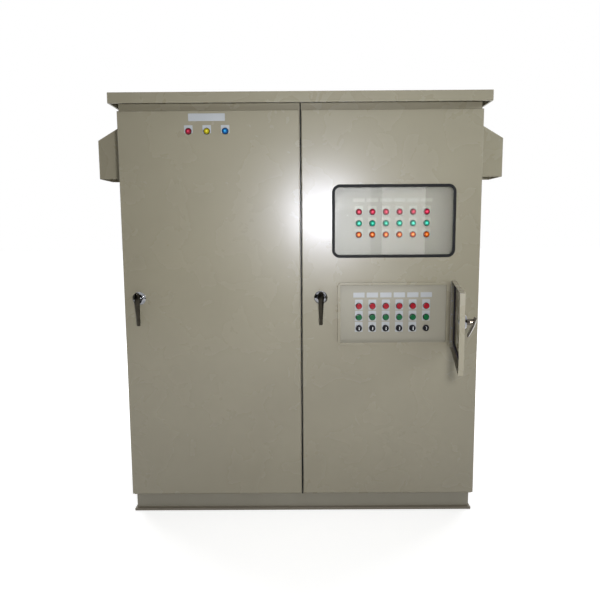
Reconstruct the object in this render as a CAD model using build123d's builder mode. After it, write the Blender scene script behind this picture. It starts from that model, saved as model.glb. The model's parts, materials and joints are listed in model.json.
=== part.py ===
from build123d import *
import os
from dataclasses import dataclass

# Outdoor control cabinet: two bays side by side on one channel plinth, under one rain canopy.
# Millimetres, +Z up, the doors face -Y. The origin is on the floor under the middle of the plinth.
# The flap on the right-hand door is drawn open, with its lever part turned.

# One length by which cutting blocks pass the faces that they cut
overrun = 5.0

# Flats on the small rounds that repeat: lamps, bezels and caps, lever rosettes, hinge pins and knuckles
round_sides = 12
rosette_sides = 18
pin_sides = 8

# Body
body_width = 1600.0
body_height = 1800.0
body_depth = 500.0
body_sheet = 2.0
bay_seam = 1.0

# Plinth, a frame of inward channel welded on a base strip whose toe shows all round
plinth_height = 75.0
plinth_flange = 45.0
plinth_strip_thick = 11.0
plinth_sheet = 5.0
plinth_toe = 15.0
plinth_end_inset = 12.0
plinth_end_toe = 8.0
anchor_hole_radius = 7.0
anchor_end_inset = 100.0
anchor_face_inset = 25.0

# Doors, folded pans that cover the whole front
door_gap = 10.0
door_depth = 25.0
door_stand_off = 5.0
door_sheet = 2.0
door_foot_margin = 15.0
door_head_margin = 35.0
door_fold = 2.0

# Gutter lip round each door opening, and the rubber seal that closes on it
gutter_inset = 20.0
gutter_hinge_inset = 30.0
gutter_thick = 2.0
seal_width = 12.0
seal_thick = 10.0
seal_clearance = 0.3

# Concealed lift-off hinges, on the right-hand edge of each door
hinge_count = 3
hinge_edge_inset = 10.0
hinge_face_inset = 13.0
hinge_end_inset = 220.0
hinge_pin_radius = 3.0
hinge_pin_clearance = 0.05
hinge_knuckle = 11.0
hinge_knuckle_height = 30.0
hinge_knuckle_gap = 0.5
hinge_web = 7.0
hinge_notch_margin = 4.0

# Lever handles, with a conical rosette and a ridged lever
left_lever_inset = 67.0
right_lever_inset = 83.0
lever_height = 1017.0
rosette_radius = 30.0
rosette_height = 10.0
rosette_rim = 1.0
lever_neck_radius = 13.0
lever_shaft_radius = 6.0
lever_shaft_clearance = 0.05
lever_face_clearance = 0.3
lever_reach = 45.0
lever_tip_drop = 13.0
lever_head = 30.0
lever_tail = 122.0
lever_width = 27.0
lever_tip_width = 15.0
lever_thick = 12.0
lever_ridge_height = 6.0
# Along the lever: share of the head or tail length, share of the head or tip width there
lever_head_shares = ((0.0, 1.0), (0.72, 0.86), (1.0, 0.5))
lever_tail_shares = ((0.92, 1.0), (1.0, 0.6))

# Three-point latch behind each door: lock case, two sliding rods and their guides
latch_tip_clearance = 4.0
latch_plate_clearance = 3.0
rod_width = 7.0
rod_thick = 5.0
rod_offset = 16.0
rod_slot_clearance = 0.5
lock_case_width = 50.0
lock_case_height = 110.0
lock_case_wall = 2.0
lock_case_back = 8.0
rod_overlap = 40.0
guide_width = 20.0
guide_height = 14.0
guide_back = 4.0
guide_spacing_shares = (0.3, 0.92)

# Window in the right-hand door
window_width = 550.0
window_height = 324.0
window_z = 1357.0
window_radius = 35.0
window_band = 13.0
window_lip = 3.5
window_sheet_bite = 5.0
pane_thick = 4.0
pane_clearance = 0.3

# Control field: columns of three rows, lamps above and operators below
column_count = 6
row_count = 3
column_pitch = 61.0
row_pitch = 51.0
field_offset = 11.0
lamp_field_z = 1348.0
operator_field_z = 924.5

# Trays that carry the lamps and the operators behind the door
tray_sheet = 2.0
lamp_tray_margin = 20.0
lamp_tray_setback = 40.0
operator_tray_margin = 15.0
operator_tray_setback = 12.0

# Pilot lamps
lamp_radius = 14.5
lamp_bezel_height = 4.0
lens_height = 8.0
lens_bevel = 4.0
lamp_tail = 22.0
lamp_tail_length = 30.0
phase_lamp_z = 1751.5
phase_lamp_pitch = 80.5
phase_lamp_offset = -6.0

# Push-buttons and selector switches
bezel_radius = 15.0
bezel_height = 10.0
bezel_bore_radius = 11.05
bezel_floor = 1.0
cap_clearance = 0.05
cap_proud = 3.0
cap_length = 7.5
selector_disc_proud = 1.0
selector_grip_width = 8.0
selector_grip_height = 12.0
selector_grip_margin = 1.0
contact_block_width = 28.0
contact_block_height = 38.0
contact_block_length = 36.0

# Flap over the operators: raised rim on the door, folded flap, seal
rim_z = 941.5
rim_proud = 12.0
rim_lip = 12.0
rim_radius = 18.0
rim_sheet = 2.0
flap_width = 520.0
flap_height = 308.0
flap_side_overlap = 10.0
flap_end_overlap = 11.5
flap_drop = 4.0
flap_depth = 20.0
flap_sheet = 1.5
flap_stand_off = 1.5
flap_seal_width = 16.0
flap_seal_clearance = 0.3
flap_open_angle = 79.5

# Piano hinge of the flap
piano_length = 280.0
piano_knuckle_count = 7
piano_knuckle_radius = 3.0
piano_knuckle_gap = 0.5
piano_pin_radius = 1.5
piano_pin_clearance = 0.05
piano_side_clearance = 0.4
piano_face_clearance = 0.6
piano_leaf_thick = 1.0
piano_leaf_width = 14.0
piano_leaf_gap = 0.6

# Lever of the flap, and the cam that it turns behind the rim
flap_lever_edge_inset = 58.0
flap_lever_head_inset = 114.5
flap_lever_angle = 55.0
cam_reach = 43.0
cam_width = 14.0
cam_thick = 3.0
cam_lip_clearance = 1.0
cam_nut_radius = 9.0
cam_nut_height = 5.0

# Rain canopy
canopy_front_overhang = 60.0
canopy_side_overhang = 20.0
canopy_rear_overhang = 20.0
canopy_fascia = 45.0
canopy_drop = 14.0
canopy_fall = 15.0
canopy_sheet = 2.0
canopy_hem = 8.0
canopy_bearer_width = 40.0
canopy_bearer_inset = 60.0
canopy_bearer_y_share = 0.6

# Vent hoods on the two sides, and the slots that they cover
hood_projection = 145.0
hood_width = 200.0
hood_low_z = 1562.0
hood_shoulder_z = 1739.0
hood_peak_z = 1825.0
hood_sheet = 1.5
slot_count = 6
slot_length = 150.0
slot_height = 8.0
slot_pitch = 22.0
slot_low_z = 1600.0

# Rear covers
rear_fold = 15.0
rear_clearance = 1.0

# Cable entry in each floor
gland_cut_width = 560.0
gland_cut_depth = 160.0
gland_overlap = 20.0
gland_thick = 3.0

# Equipment inside
plate_width = 680.0
plate_low_z = 150.0
plate_high_z = 1800.0
plate_thick = 3.0
plate_setback = 45.0
plate_foot_width = 60.0
plate_foot_depth = 40.0
plate_foot_inset = 80.0
rail_width = 35.0
rail_height = 7.5
rail_crown = 25.0
rail_sheet = 1.0
rail_length = 600.0
rail_heights = (1500.0, 1150.0, 800.0)
device_nose_share = 0.6
# Width, height and depth of each kind of rail device
breaker_size = (18.0, 82.0, 66.0)
main_breaker_size = (105.0, 160.0, 86.0)
contactor_size = (45.0, 85.0, 100.0)
breaker_count = 9
contactor_pitch = 62.0
contactor_count = 6
terminal_width = 16.0
terminal_height = 60.0
terminal_depth = 48.0
terminal_count = 8
device_gap = 1.0
duct_width = 40.0
duct_depth = 60.0
duct_wall = 2.0

# Levels and planes that the pieces share
base_z = plinth_height
top_z = base_z + body_height
front_y = -body_depth / 2
rear_y = body_depth / 2
door_back_y = front_y - door_stand_off
door_y = door_back_y - door_depth
door_inner_y = door_y + door_sheet
door_low_z = base_z + door_foot_margin
door_high_z = top_z - door_head_margin
open_low_z = door_low_z + gutter_inset
open_high_z = door_high_z - gutter_inset
gutter_y = door_inner_y + seal_thick + seal_clearance
hinge_y = door_y + hinge_face_inset
rod_front_y = front_y + body_sheet + latch_plate_clearance
rod_back_y = rod_front_y + rod_thick
rim_y = door_y - rim_proud
rim_width = flap_width - 2 * flap_side_overlap
rim_height = flap_height - 2 * flap_end_overlap
flap_back_y = door_y - flap_stand_off
flap_y = flap_back_y - flap_depth
flap_inner_y = flap_y + flap_sheet
plate_y = rear_y - plate_setback
shaft_hole_radius = lever_shaft_radius + lever_face_clearance
rosette_bevel = rosette_height - rosette_rim


@dataclass
class Bay:
    """One half of the cabinet: the x spans of its shell and of its door."""

    shell: tuple
    door: tuple
    outer_side: int
    lever_inset: float

    @property
    def opening(self):
        return (self.door[0] + gutter_inset, self.door[1] - gutter_hinge_inset)

    @property
    def middle(self):
        return (self.door[0] + self.door[1]) / 2

    @property
    def hinge_x(self):
        return self.door[1] - hinge_edge_inset

    @property
    def lever_x(self):
        return self.door[0] + self.lever_inset

    @property
    def interior(self):
        if self.outer_side < 0:
            return (self.shell[0] + body_sheet, self.shell[1])
        return (self.shell[0], self.shell[1] - body_sheet)


half_width = body_width / 2
left_bay = Bay((-half_width, -bay_seam / 2), (-half_width, -door_gap / 2), -1, left_lever_inset)
right_bay = Bay((bay_seam / 2, half_width), (door_gap / 2, half_width), 1, right_lever_inset)
bays = (left_bay, right_bay)

field_x = right_bay.middle + field_offset
column_xs = [field_x + column_pitch * (i - (column_count - 1) / 2) for i in range(column_count)]
lamp_zs = [lamp_field_z + row_pitch * ((row_count - 1) / 2 - i) for i in range(row_count)]
operator_zs = [operator_field_z + row_pitch * ((row_count - 1) / 2 - i) for i in range(row_count)]
hinge_low_z = door_low_z + hinge_end_inset
hinge_pitch = (door_high_z - door_low_z - 2 * hinge_end_inset) / (hinge_count - 1)
hinge_zs = [hinge_low_z + hinge_pitch * i for i in range(hinge_count)]

piano_x = field_x + flap_width / 2 + piano_knuckle_radius + piano_side_clearance
piano_y = door_y - piano_face_clearance - piano_knuckle_radius
flap_axis = Axis((piano_x, piano_y, 0), (0, 0, 1))


def block(x, y, z, mode=Mode.ADD):
    """Add or cut a block given by its low and high x, y and z."""
    with Locations(((x[0] + x[1]) / 2, (y[0] + y[1]) / 2, (z[0] + z[1]) / 2)):
        Box(x[1] - x[0], y[1] - y[0], z[1] - z[0], mode=mode)


def facing(y):
    """A plane across the cabinet at depth y, seen from the front: x to the right, z up."""
    return Plane((0, y, 0), x_dir=(1, 0, 0), z_dir=(0, -1, 0))


def rounded_slab(x, z, width, height, radius, y, mode=Mode.ADD):
    """Add or cut a slab with rounded corners, from depth y[0] back to y[1]."""
    with BuildSketch(facing(y[1])) as outline:
        with Locations((x, z)):
            RectangleRounded(width, height, radius)
    extrude(outline.sketch, amount=y[1] - y[0], mode=mode)


def bar(x, z, radius, y, sides=round_sides, bevel=0):
    """Add a many-sided bar along y, from depth y[0] back to y[1], inside the radius, with a bevelled nose."""
    with BuildSketch(facing(y[1])) as outline:
        with Locations((x, z)):
            RegularPolygon(radius, side_count=sides)
    extrude(outline.sketch, amount=y[1] - y[0])
    if bevel:
        chamfer(edges(Select.LAST).group_by(Axis.Y)[0], bevel)


def bore(x, z, radius, y):
    """Cut a many-sided hole along y, from depth y[0] back to y[1], that clears the radius."""
    with BuildSketch(facing(y[1])) as outline:
        with Locations((x, z)):
            RegularPolygon(radius, side_count=round_sides, major_radius=False)
    extrude(outline.sketch, amount=y[1] - y[0], mode=Mode.SUBTRACT)


def upright_bar(x, y, radius, z):
    """Add a many-sided bar along z, from z[0] to z[1], that fits inside the radius."""
    with BuildSketch(Plane.XY.offset(z[0])) as outline:
        with Locations((x, y)):
            RegularPolygon(radius, side_count=pin_sides)
    extrude(outline.sketch, amount=z[1] - z[0])


def upright_bore(x, y, radius, z):
    """Cut a many-sided hole along z, from z[0] to z[1], that clears the radius."""
    with BuildSketch(Plane.XY.offset(z[0])) as outline:
        with Locations((x, y)):
            RegularPolygon(radius, side_count=pin_sides, major_radius=False)
    extrude(outline.sketch, amount=z[1] - z[0], mode=Mode.SUBTRACT)


def grown(span, margin):
    """A span that is longer by the margin at both ends."""
    return (span[0] - margin, span[1] + margin)


def around(middle, size):
    """The span of a size about its middle."""
    return (middle - size / 2, middle + size / 2)


def save(part, name):
    """Label a finished piece and write it as its own file."""
    part.label = name
    export_step(part, f"parts/{name}.step")


os.makedirs("parts", exist_ok=True)

# Plinth: base strip, web and top flange as one welded frame, open in the middle
web_x = half_width - plinth_end_inset
web_y = -front_y
with BuildPart() as plinth_frame:
    toe_x = web_x + plinth_end_toe
    toe_y = web_y + plinth_toe
    block((-toe_x, toe_x), (-toe_y, toe_y), (0, plinth_strip_thick))
    block((-web_x, web_x), (-web_y, web_y), (plinth_strip_thick, plinth_height))
    hollow_x = grown((-web_x, web_x), -plinth_sheet)
    hollow_y = grown((-web_y, web_y), -plinth_sheet)
    block(hollow_x, hollow_y, (plinth_strip_thick, plinth_height - plinth_sheet), Mode.SUBTRACT)
    inside_x = grown((-web_x, web_x), -plinth_flange)
    inside_y = grown((-web_y, web_y), -plinth_flange)
    block(inside_x, inside_y, (-overrun, plinth_height + overrun), Mode.SUBTRACT)
    with GridLocations(2 * (half_width - anchor_end_inset), 2 * (web_y - anchor_face_inset), 2, 2):
        Cylinder(anchor_hole_radius, 2 * plinth_strip_thick + overrun, mode=Mode.SUBTRACT)
save(plinth_frame.part, "plinth_frame")


def front_frame(bay):
    """Front of one bay: face plate, gutter lip round the opening, and the fixed hinge halves."""
    opening_z = (open_low_z, open_high_z)
    with BuildPart() as frame:
        block(bay.shell, (front_y, front_y + body_sheet), (base_z, top_z))
        block(grown(bay.opening, gutter_thick), (gutter_y, front_y), grown(opening_z, gutter_thick))
        block(bay.opening, (gutter_y - overrun, front_y + body_sheet + overrun), opening_z, Mode.SUBTRACT)
        for z in hinge_zs:
            low = (z - hinge_knuckle_height - hinge_knuckle_gap / 2, z - hinge_knuckle_gap / 2)
            block(around(bay.hinge_x, hinge_knuckle), around(hinge_y, hinge_knuckle), low)
            block(around(bay.hinge_x, hinge_web), (hinge_y, front_y), low)
            upright_bar(bay.hinge_x, hinge_y, hinge_pin_radius, (low[1], low[1] + hinge_knuckle_height))
    return frame.part


save(front_frame(left_bay), "left_front_frame")
save(front_frame(right_bay), "right_front_frame")

# Shells: floor, outer side and top of each bay folded from one sheet
shell_y = (front_y + body_sheet, rear_y - body_sheet)
with BuildPart() as body_shells:
    for bay in bays:
        block(bay.shell, shell_y, (base_z, top_z))
        block(bay.interior, shell_y, (base_z + body_sheet, top_z - body_sheet), Mode.SUBTRACT)
        gland_x = around(bay.middle, gland_cut_width)
        gland_cut_z = grown((base_z, base_z + body_sheet), overrun)
        block(gland_x, around(0, gland_cut_depth), gland_cut_z, Mode.SUBTRACT)
        side_x = around(bay.outer_side * (half_width - body_sheet / 2), body_sheet + overrun)
        for i in range(slot_count):
            slot_z = slot_low_z + i * slot_pitch
            block(side_x, around(0, slot_length), (slot_z, slot_z + slot_height), Mode.SUBTRACT)
save(body_shells.part, "body_shells")

# Rear covers: shallow pans that close the back of each bay
with BuildPart() as rear_panels:
    for bay in bays:
        block(bay.shell, (rear_y - body_sheet, rear_y), (base_z, top_z))
        fold_x = grown(bay.interior, -rear_clearance)
        fold_z = grown((base_z + body_sheet, top_z - body_sheet), -rear_clearance)
        fold_y = (rear_y - body_sheet - rear_fold, rear_y - body_sheet)
        block(fold_x, fold_y, fold_z)
        block(grown(fold_x, -body_sheet), fold_y, grown(fold_z, -body_sheet), Mode.SUBTRACT)
save(rear_panels.part, "rear_panels")

# Gland plates over the cable entries
with BuildPart() as gland_plates:
    gland_z = base_z + body_sheet
    for bay in bays:
        plate_x = around(bay.middle, gland_cut_width + 2 * gland_overlap)
        block(plate_x, around(0, gland_cut_depth + 2 * gland_overlap), (gland_z, gland_z + gland_thick))
save(gland_plates.part, "gland_plates")

# Rain canopy: folded tray turned over, falling to the rear, on two bearers
canopy_front_y = door_y - canopy_front_overhang
canopy_rear_y = rear_y + canopy_rear_overhang
canopy_half = half_width + canopy_side_overhang
canopy_low_z = top_z - canopy_drop
canopy_high_z = canopy_low_z + canopy_fascia
with BuildPart() as roof_canopy:
    with BuildSketch(Plane.YZ):
        Polygon(
            (canopy_front_y, canopy_low_z),
            (canopy_rear_y, canopy_low_z),
            (canopy_rear_y, canopy_high_z - canopy_fall),
            (canopy_front_y, canopy_high_z),
            align=None,
        )
    extrude(amount=canopy_half, both=True)
    with BuildSketch(Plane.YZ):
        Polygon(
            (canopy_front_y + canopy_sheet, canopy_low_z + canopy_sheet),
            (canopy_rear_y - canopy_sheet, canopy_low_z + canopy_sheet),
            (canopy_rear_y - canopy_sheet, canopy_high_z - canopy_fall - canopy_sheet),
            (canopy_front_y + canopy_sheet, canopy_high_z - canopy_sheet),
            align=None,
        )
    extrude(amount=canopy_half - canopy_sheet, both=True, mode=Mode.SUBTRACT)
    mouth_y = (canopy_front_y + canopy_hem, canopy_rear_y - canopy_hem)
    mouth_x = around(0, 2 * (canopy_half - canopy_hem))
    block(mouth_x, mouth_y, (canopy_low_z - overrun, canopy_low_z + canopy_sheet), Mode.SUBTRACT)
    for side in (1, -1):
        bearer_y = side * canopy_bearer_y_share * body_depth / 2
        fall_share = (bearer_y - canopy_front_y) / (canopy_rear_y - canopy_front_y)
        under_z = canopy_high_z - canopy_sheet / 2 - canopy_fall * fall_share
        bearer_x = around(0, 2 * (half_width - canopy_bearer_inset))
        block(bearer_x, around(bearer_y, canopy_bearer_width), (top_z, under_z))
save(roof_canopy.part, "roof_canopy")

# Vent hoods: sloped top, upright outer face and cheeks, open below and to the wall
with BuildPart() as vent_hoods:
    for side in (1, -1):
        wall_x = side * half_width
        outer_x = side * (half_width + hood_projection)
        inner_x = side * (half_width + hood_projection - hood_sheet)
        slope_share = (hood_peak_z - hood_shoulder_z) / hood_projection
        skin = hood_sheet * (1 + slope_share ** 2) ** 0.5
        with BuildSketch(Plane.XZ):
            Polygon(
                (wall_x, hood_low_z),
                (outer_x, hood_low_z),
                (outer_x, hood_shoulder_z),
                (wall_x, hood_peak_z),
                align=None,
            )
        extrude(amount=hood_width / 2, both=True)
        with BuildSketch(Plane.XZ):
            Polygon(
                (wall_x, hood_low_z - overrun),
                (inner_x, hood_low_z - overrun),
                (inner_x, hood_shoulder_z + hood_sheet * slope_share - skin),
                (wall_x, hood_peak_z - skin),
                align=None,
            )
        extrude(amount=hood_width / 2 - hood_sheet, both=True, mode=Mode.SUBTRACT)
save(vent_hoods.part, "vent_hoods")

# Mounting plates, on feet that stand on the floor and reach up to the top
with BuildPart() as mounting_plates:
    for bay in bays:
        block(around(bay.middle, plate_width), (plate_y, plate_y + plate_thick), (plate_low_z, plate_high_z))
        for end in (1, -1):
            foot_x = bay.middle + end * (plate_width / 2 - plate_foot_inset)
            span_x = around(foot_x, plate_foot_width)
            web_span_y = (plate_y, plate_y + plate_thick)
            foot_span_y = (plate_y - plate_foot_depth, plate_y)
            floor_z = base_z + body_sheet
            roof_z = top_z - body_sheet
            block(span_x, web_span_y, (floor_z, plate_low_z))
            block(span_x, foot_span_y, (floor_z, floor_z + plate_thick))
            block(span_x, web_span_y, (plate_high_z, roof_z))
            block(span_x, foot_span_y, (roof_z - plate_thick, roof_z))
save(mounting_plates.part, "mounting_plates")

# Top-hat rails on the mounting plates
with BuildPart() as mounting_rails:
    for bay in bays:
        for z in rail_heights:
            with BuildSketch(Plane.YZ.offset(bay.middle - rail_length / 2)):
                with BuildLine():
                    Polyline(
                        (plate_y, z - rail_crown / 2),
                        (plate_y - rail_height + rail_sheet, z - rail_crown / 2),
                        (plate_y - rail_height + rail_sheet, z - rail_width / 2),
                        (plate_y - rail_height, z - rail_width / 2),
                        (plate_y - rail_height, z - rail_crown / 2 + rail_sheet),
                        (plate_y - rail_sheet, z - rail_crown / 2 + rail_sheet),
                        (plate_y - rail_sheet, z + rail_crown / 2 - rail_sheet),
                        (plate_y - rail_height, z + rail_crown / 2 - rail_sheet),
                        (plate_y - rail_height, z + rail_width / 2),
                        (plate_y - rail_height + rail_sheet, z + rail_width / 2),
                        (plate_y - rail_height + rail_sheet, z + rail_crown / 2),
                        (plate_y, z + rail_crown / 2),
                        close=True,
                    )
                make_face()
            extrude(amount=rail_length)
save(mounting_rails.part, "mounting_rails")

device_y = plate_y - rail_height


def device(x, z, size):
    """A rail device of a width, height and depth: a block with a narrower nose, on the front of a rail."""
    width, height, depth = size
    block(around(x, width), (device_y - depth * device_nose_share, device_y), around(z, height))
    nose_y = (device_y - depth, device_y - depth * device_nose_share)
    block(around(x, width), nose_y, around(z, height * device_nose_share))


def device_row(bay, z, size, count, pitch):
    """A row of like devices along a rail."""
    for i in range(count):
        device(bay.middle + pitch * (i - (count - 1) / 2), z, size)


# Incoming breaker and outgoing miniature breakers
with BuildPart() as circuit_breakers:
    device(left_bay.middle, rail_heights[0], main_breaker_size)
    breaker_pitch = breaker_size[0] + device_gap
    device_row(left_bay, rail_heights[1], breaker_size, breaker_count, breaker_pitch)
save(circuit_breakers.part, "circuit_breakers")

# Contactors, one for each channel of the control field
with BuildPart() as contactors:
    device_row(right_bay, rail_heights[1], contactor_size, contactor_count, contactor_pitch)
save(contactors.part, "contactors")

# Outgoing terminals
with BuildPart() as terminal_blocks:
    terminal_pitch = terminal_width + device_gap
    terminal_y = (device_y - terminal_depth, device_y)
    for bay in bays:
        for i in range(terminal_count):
            x = bay.middle + terminal_pitch * (i - (terminal_count - 1) / 2)
            block(around(x, terminal_width), terminal_y, around(rail_heights[2], terminal_height))
save(terminal_blocks.part, "terminal_blocks")

# Wiring ducts between the rails, open channels with their mouths to the front
with BuildPart() as wiring_ducts:
    for bay in bays:
        for upper, lower in zip(rail_heights, rail_heights[1:]):
            duct_z = around((upper + lower) / 2, duct_width)
            duct_x = around(bay.middle, rail_length)
            block(duct_x, (plate_y - duct_depth, plate_y), duct_z)
            hollow_y = (plate_y - duct_depth, plate_y - duct_wall)
            block(duct_x, hollow_y, grown(duct_z, -duct_wall), Mode.SUBTRACT)
save(wiring_ducts.part, "wiring_ducts")


def door_pan(bay):
    """Folded door with its hinge halves, notched beside each hinge."""
    with BuildPart() as pan:
        block(bay.door, (door_y, door_back_y), (door_low_z, door_high_z))
        chamfer(pan.edges().group_by(Axis.Y)[0], door_fold)
        inside_x = grown(bay.door, -door_sheet)
        inside_z = grown((door_low_z, door_high_z), -door_sheet)
        block(inside_x, (door_inner_y, door_back_y), inside_z, Mode.SUBTRACT)
        for z in hinge_zs:
            notch_x = (bay.door[1] - door_sheet, bay.door[1])
            notch_z = around(z, 2 * (hinge_knuckle_height + hinge_notch_margin))
            block(notch_x, (door_inner_y, door_back_y), notch_z, Mode.SUBTRACT)
            high = (z + hinge_knuckle_gap / 2, z + hinge_knuckle_height + hinge_knuckle_gap / 2)
            block(around(bay.hinge_x, hinge_knuckle), (door_inner_y, hinge_y + hinge_knuckle / 2), high)
            upright_bore(bay.hinge_x, hinge_y, hinge_pin_radius + hinge_pin_clearance, grown(high, overrun))
        bore(bay.lever_x, lever_height, shaft_hole_radius, (door_y - overrun, door_inner_y))
    return pan


def door_seal(bay):
    """Rubber seal inside a door, over the gutter lip."""
    lip_x = around((bay.opening[0] + bay.opening[1]) / 2, bay.opening[1] - bay.opening[0] + gutter_thick)
    lip_z = grown((open_low_z, open_high_z), gutter_thick / 2)
    with BuildPart() as seal:
        seal_y = (door_inner_y, door_inner_y + seal_thick)
        block(grown(lip_x, seal_width / 2), seal_y, grown(lip_z, seal_width / 2))
        block(grown(lip_x, -seal_width / 2), seal_y, grown(lip_z, -seal_width / 2), Mode.SUBTRACT)
    return seal.part


save(door_pan(left_bay).part, "left_door")
save(door_seal(left_bay), "left_door_seal")
save(door_seal(right_bay), "right_door_seal")

# Right-hand door: the same pan, with the window cut out and the flap's rim raised round its opening
window_open_width = window_width - 2 * window_sheet_bite
window_open_height = window_height - 2 * window_sheet_bite
window_open_radius = window_radius - window_sheet_bite
right_pan = door_pan(right_bay).part
with BuildPart() as right_door:
    add(right_pan)
    through_y = (door_y - overrun, door_inner_y)
    rounded_slab(
        field_x, window_z, window_open_width, window_open_height, window_open_radius, through_y, Mode.SUBTRACT
    )
    rounded_slab(field_x, rim_z, rim_width, rim_height, rim_radius, (rim_y, door_y))
    rounded_slab(
        field_x,
        rim_z,
        rim_width - 2 * rim_sheet,
        rim_height - 2 * rim_sheet,
        rim_radius - rim_sheet,
        (rim_y + rim_sheet, door_inner_y),
        Mode.SUBTRACT,
    )
    rounded_slab(
        field_x,
        rim_z,
        rim_width - 2 * rim_lip,
        rim_height - 2 * rim_lip,
        rim_radius - rim_lip,
        (rim_y - overrun, door_inner_y),
        Mode.SUBTRACT,
    )
save(right_door.part, "right_door")

# Window: rubber section with a lip on the door's face and a neck that holds the pane
neck_width = window_width - 2 * window_sheet_bite - 2 * pane_clearance
neck_height = window_height - 2 * window_sheet_bite - 2 * pane_clearance
neck_radius = window_open_radius - pane_clearance
glass_width = window_width - 2 * window_band
glass_height = window_height - 2 * window_band
glass_radius = window_radius - window_band
lip_y = (door_y - window_lip, door_y)
neck_y = (door_y, door_inner_y + window_lip)
with BuildPart() as window_gasket:
    rounded_slab(field_x, window_z, window_width, window_height, window_radius, lip_y)
    rounded_slab(field_x, window_z, neck_width, neck_height, neck_radius, neck_y)
    sight_y = (lip_y[0] - overrun, neck_y[1] + overrun)
    rounded_slab(field_x, window_z, glass_width, glass_height, glass_radius, sight_y, Mode.SUBTRACT)
save(window_gasket.part, "window_gasket")

with BuildPart() as window_pane:
    pane_width = glass_width - 2 * pane_clearance
    pane_height = glass_height - 2 * pane_clearance
    pane_y = (door_y - pane_thick / 2, door_y + pane_thick / 2)
    rounded_slab(field_x, window_z, pane_width, pane_height, glass_radius - pane_clearance, pane_y)
save(window_pane.part, "window_pane")


def tray(z, width, height, setback):
    """Folded tray behind the door: its rim meets the door, its floor carries the fittings."""
    with BuildPart() as pan:
        floor_y = door_y + setback
        block(around(field_x, width), (door_inner_y, floor_y + tray_sheet), around(z, height))
        inside_x = around(field_x, width - 2 * tray_sheet)
        block(inside_x, (door_inner_y, floor_y), around(z, height - 2 * tray_sheet), Mode.SUBTRACT)
    return pan.part


lamp_tray_width = window_width + 2 * lamp_tray_margin
lamp_tray_height = window_height + 2 * lamp_tray_margin
operator_tray_width = rim_width + 2 * operator_tray_margin
operator_tray_height = rim_height + 2 * operator_tray_margin
save(tray(window_z, lamp_tray_width, lamp_tray_height, lamp_tray_setback), "lamp_tray")
save(tray(rim_z, operator_tray_width, operator_tray_height, operator_tray_setback), "operator_tray")


def pilot_lamps(places, face_y, sheet):
    """Pilot lamps on a panel: bezel and lens in front, lamp holder behind."""
    with BuildPart() as lamps:
        for x, z in places:
            nose_y = face_y - lamp_bezel_height - lens_height
            bar(x, z, lamp_radius, (nose_y, face_y), bevel=lens_bevel)
            holder_y = (face_y + sheet, face_y + sheet + lamp_tail_length)
            block(around(x, lamp_tail), holder_y, around(z, lamp_tail))
    return lamps.part


lamp_face_y = door_y + lamp_tray_setback
for z, colour in zip(lamp_zs, ("red", "green", "amber")):
    save(pilot_lamps([(x, z) for x in column_xs], lamp_face_y, tray_sheet), f"{colour}_lamps")
for i, colour in enumerate(("red", "yellow", "blue")):
    phase_x = left_bay.middle + phase_lamp_offset + phase_lamp_pitch * (i - 1)
    save(pilot_lamps([(phase_x, phase_lamp_z)], door_y, door_sheet), f"phase_lamp_{colour}")

# Fixed parts of the operators: black bezels in front, contact blocks behind
operator_y = door_y + operator_tray_setback
bezel_y = operator_y - bezel_height
with BuildPart() as operator_bodies:
    for x in column_xs:
        for z in operator_zs:
            bar(x, z, bezel_radius, (bezel_y, operator_y))
            bore(x, z, bezel_bore_radius, (bezel_y - overrun, operator_y - bezel_floor))
            back_y = (operator_y + tray_sheet, operator_y + tray_sheet + contact_block_length)
            block(around(x, contact_block_width), back_y, around(z, contact_block_height))
save(operator_bodies.part, "operator_bodies")

cap_radius = bezel_bore_radius - cap_clearance


def push_button(x, z):
    """Cap of a push-button, a plunger that runs in its bezel."""
    with BuildPart() as cap:
        cap_y = bezel_y - cap_proud
        bar(x, z, cap_radius, (cap_y, cap_y + cap_length))
    return cap.part


def selector_knob(x, z):
    """Knob of a selector switch: a disc in the bezel with an upright grip."""
    with BuildPart() as knob:
        disc_y = bezel_y - selector_disc_proud
        bar(x, z, cap_radius, (disc_y, disc_y + cap_length))
        grip_height = 2 * (cap_radius - selector_grip_margin)
        grip_y = (disc_y - selector_grip_height, disc_y)
        block(around(x, selector_grip_width), grip_y, around(z, grip_height))
    return knob.part


for i, x in enumerate(column_xs, start=1):
    save(push_button(x, operator_zs[0]), f"red_button_{i}")
    save(push_button(x, operator_zs[1]), f"green_button_{i}")
    save(selector_knob(x, operator_zs[2]), f"selector_knob_{i}")


def lever_outline():
    """Right-hand half of a lever from the front, from its tip up to its head: half width and height."""
    tail = [(part * lever_tip_width / 2, -share * lever_tail) for share, part in reversed(lever_tail_shares)]
    head = [(part * lever_width / 2, share * lever_head) for share, part in lever_head_shares]
    return tail + head


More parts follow.
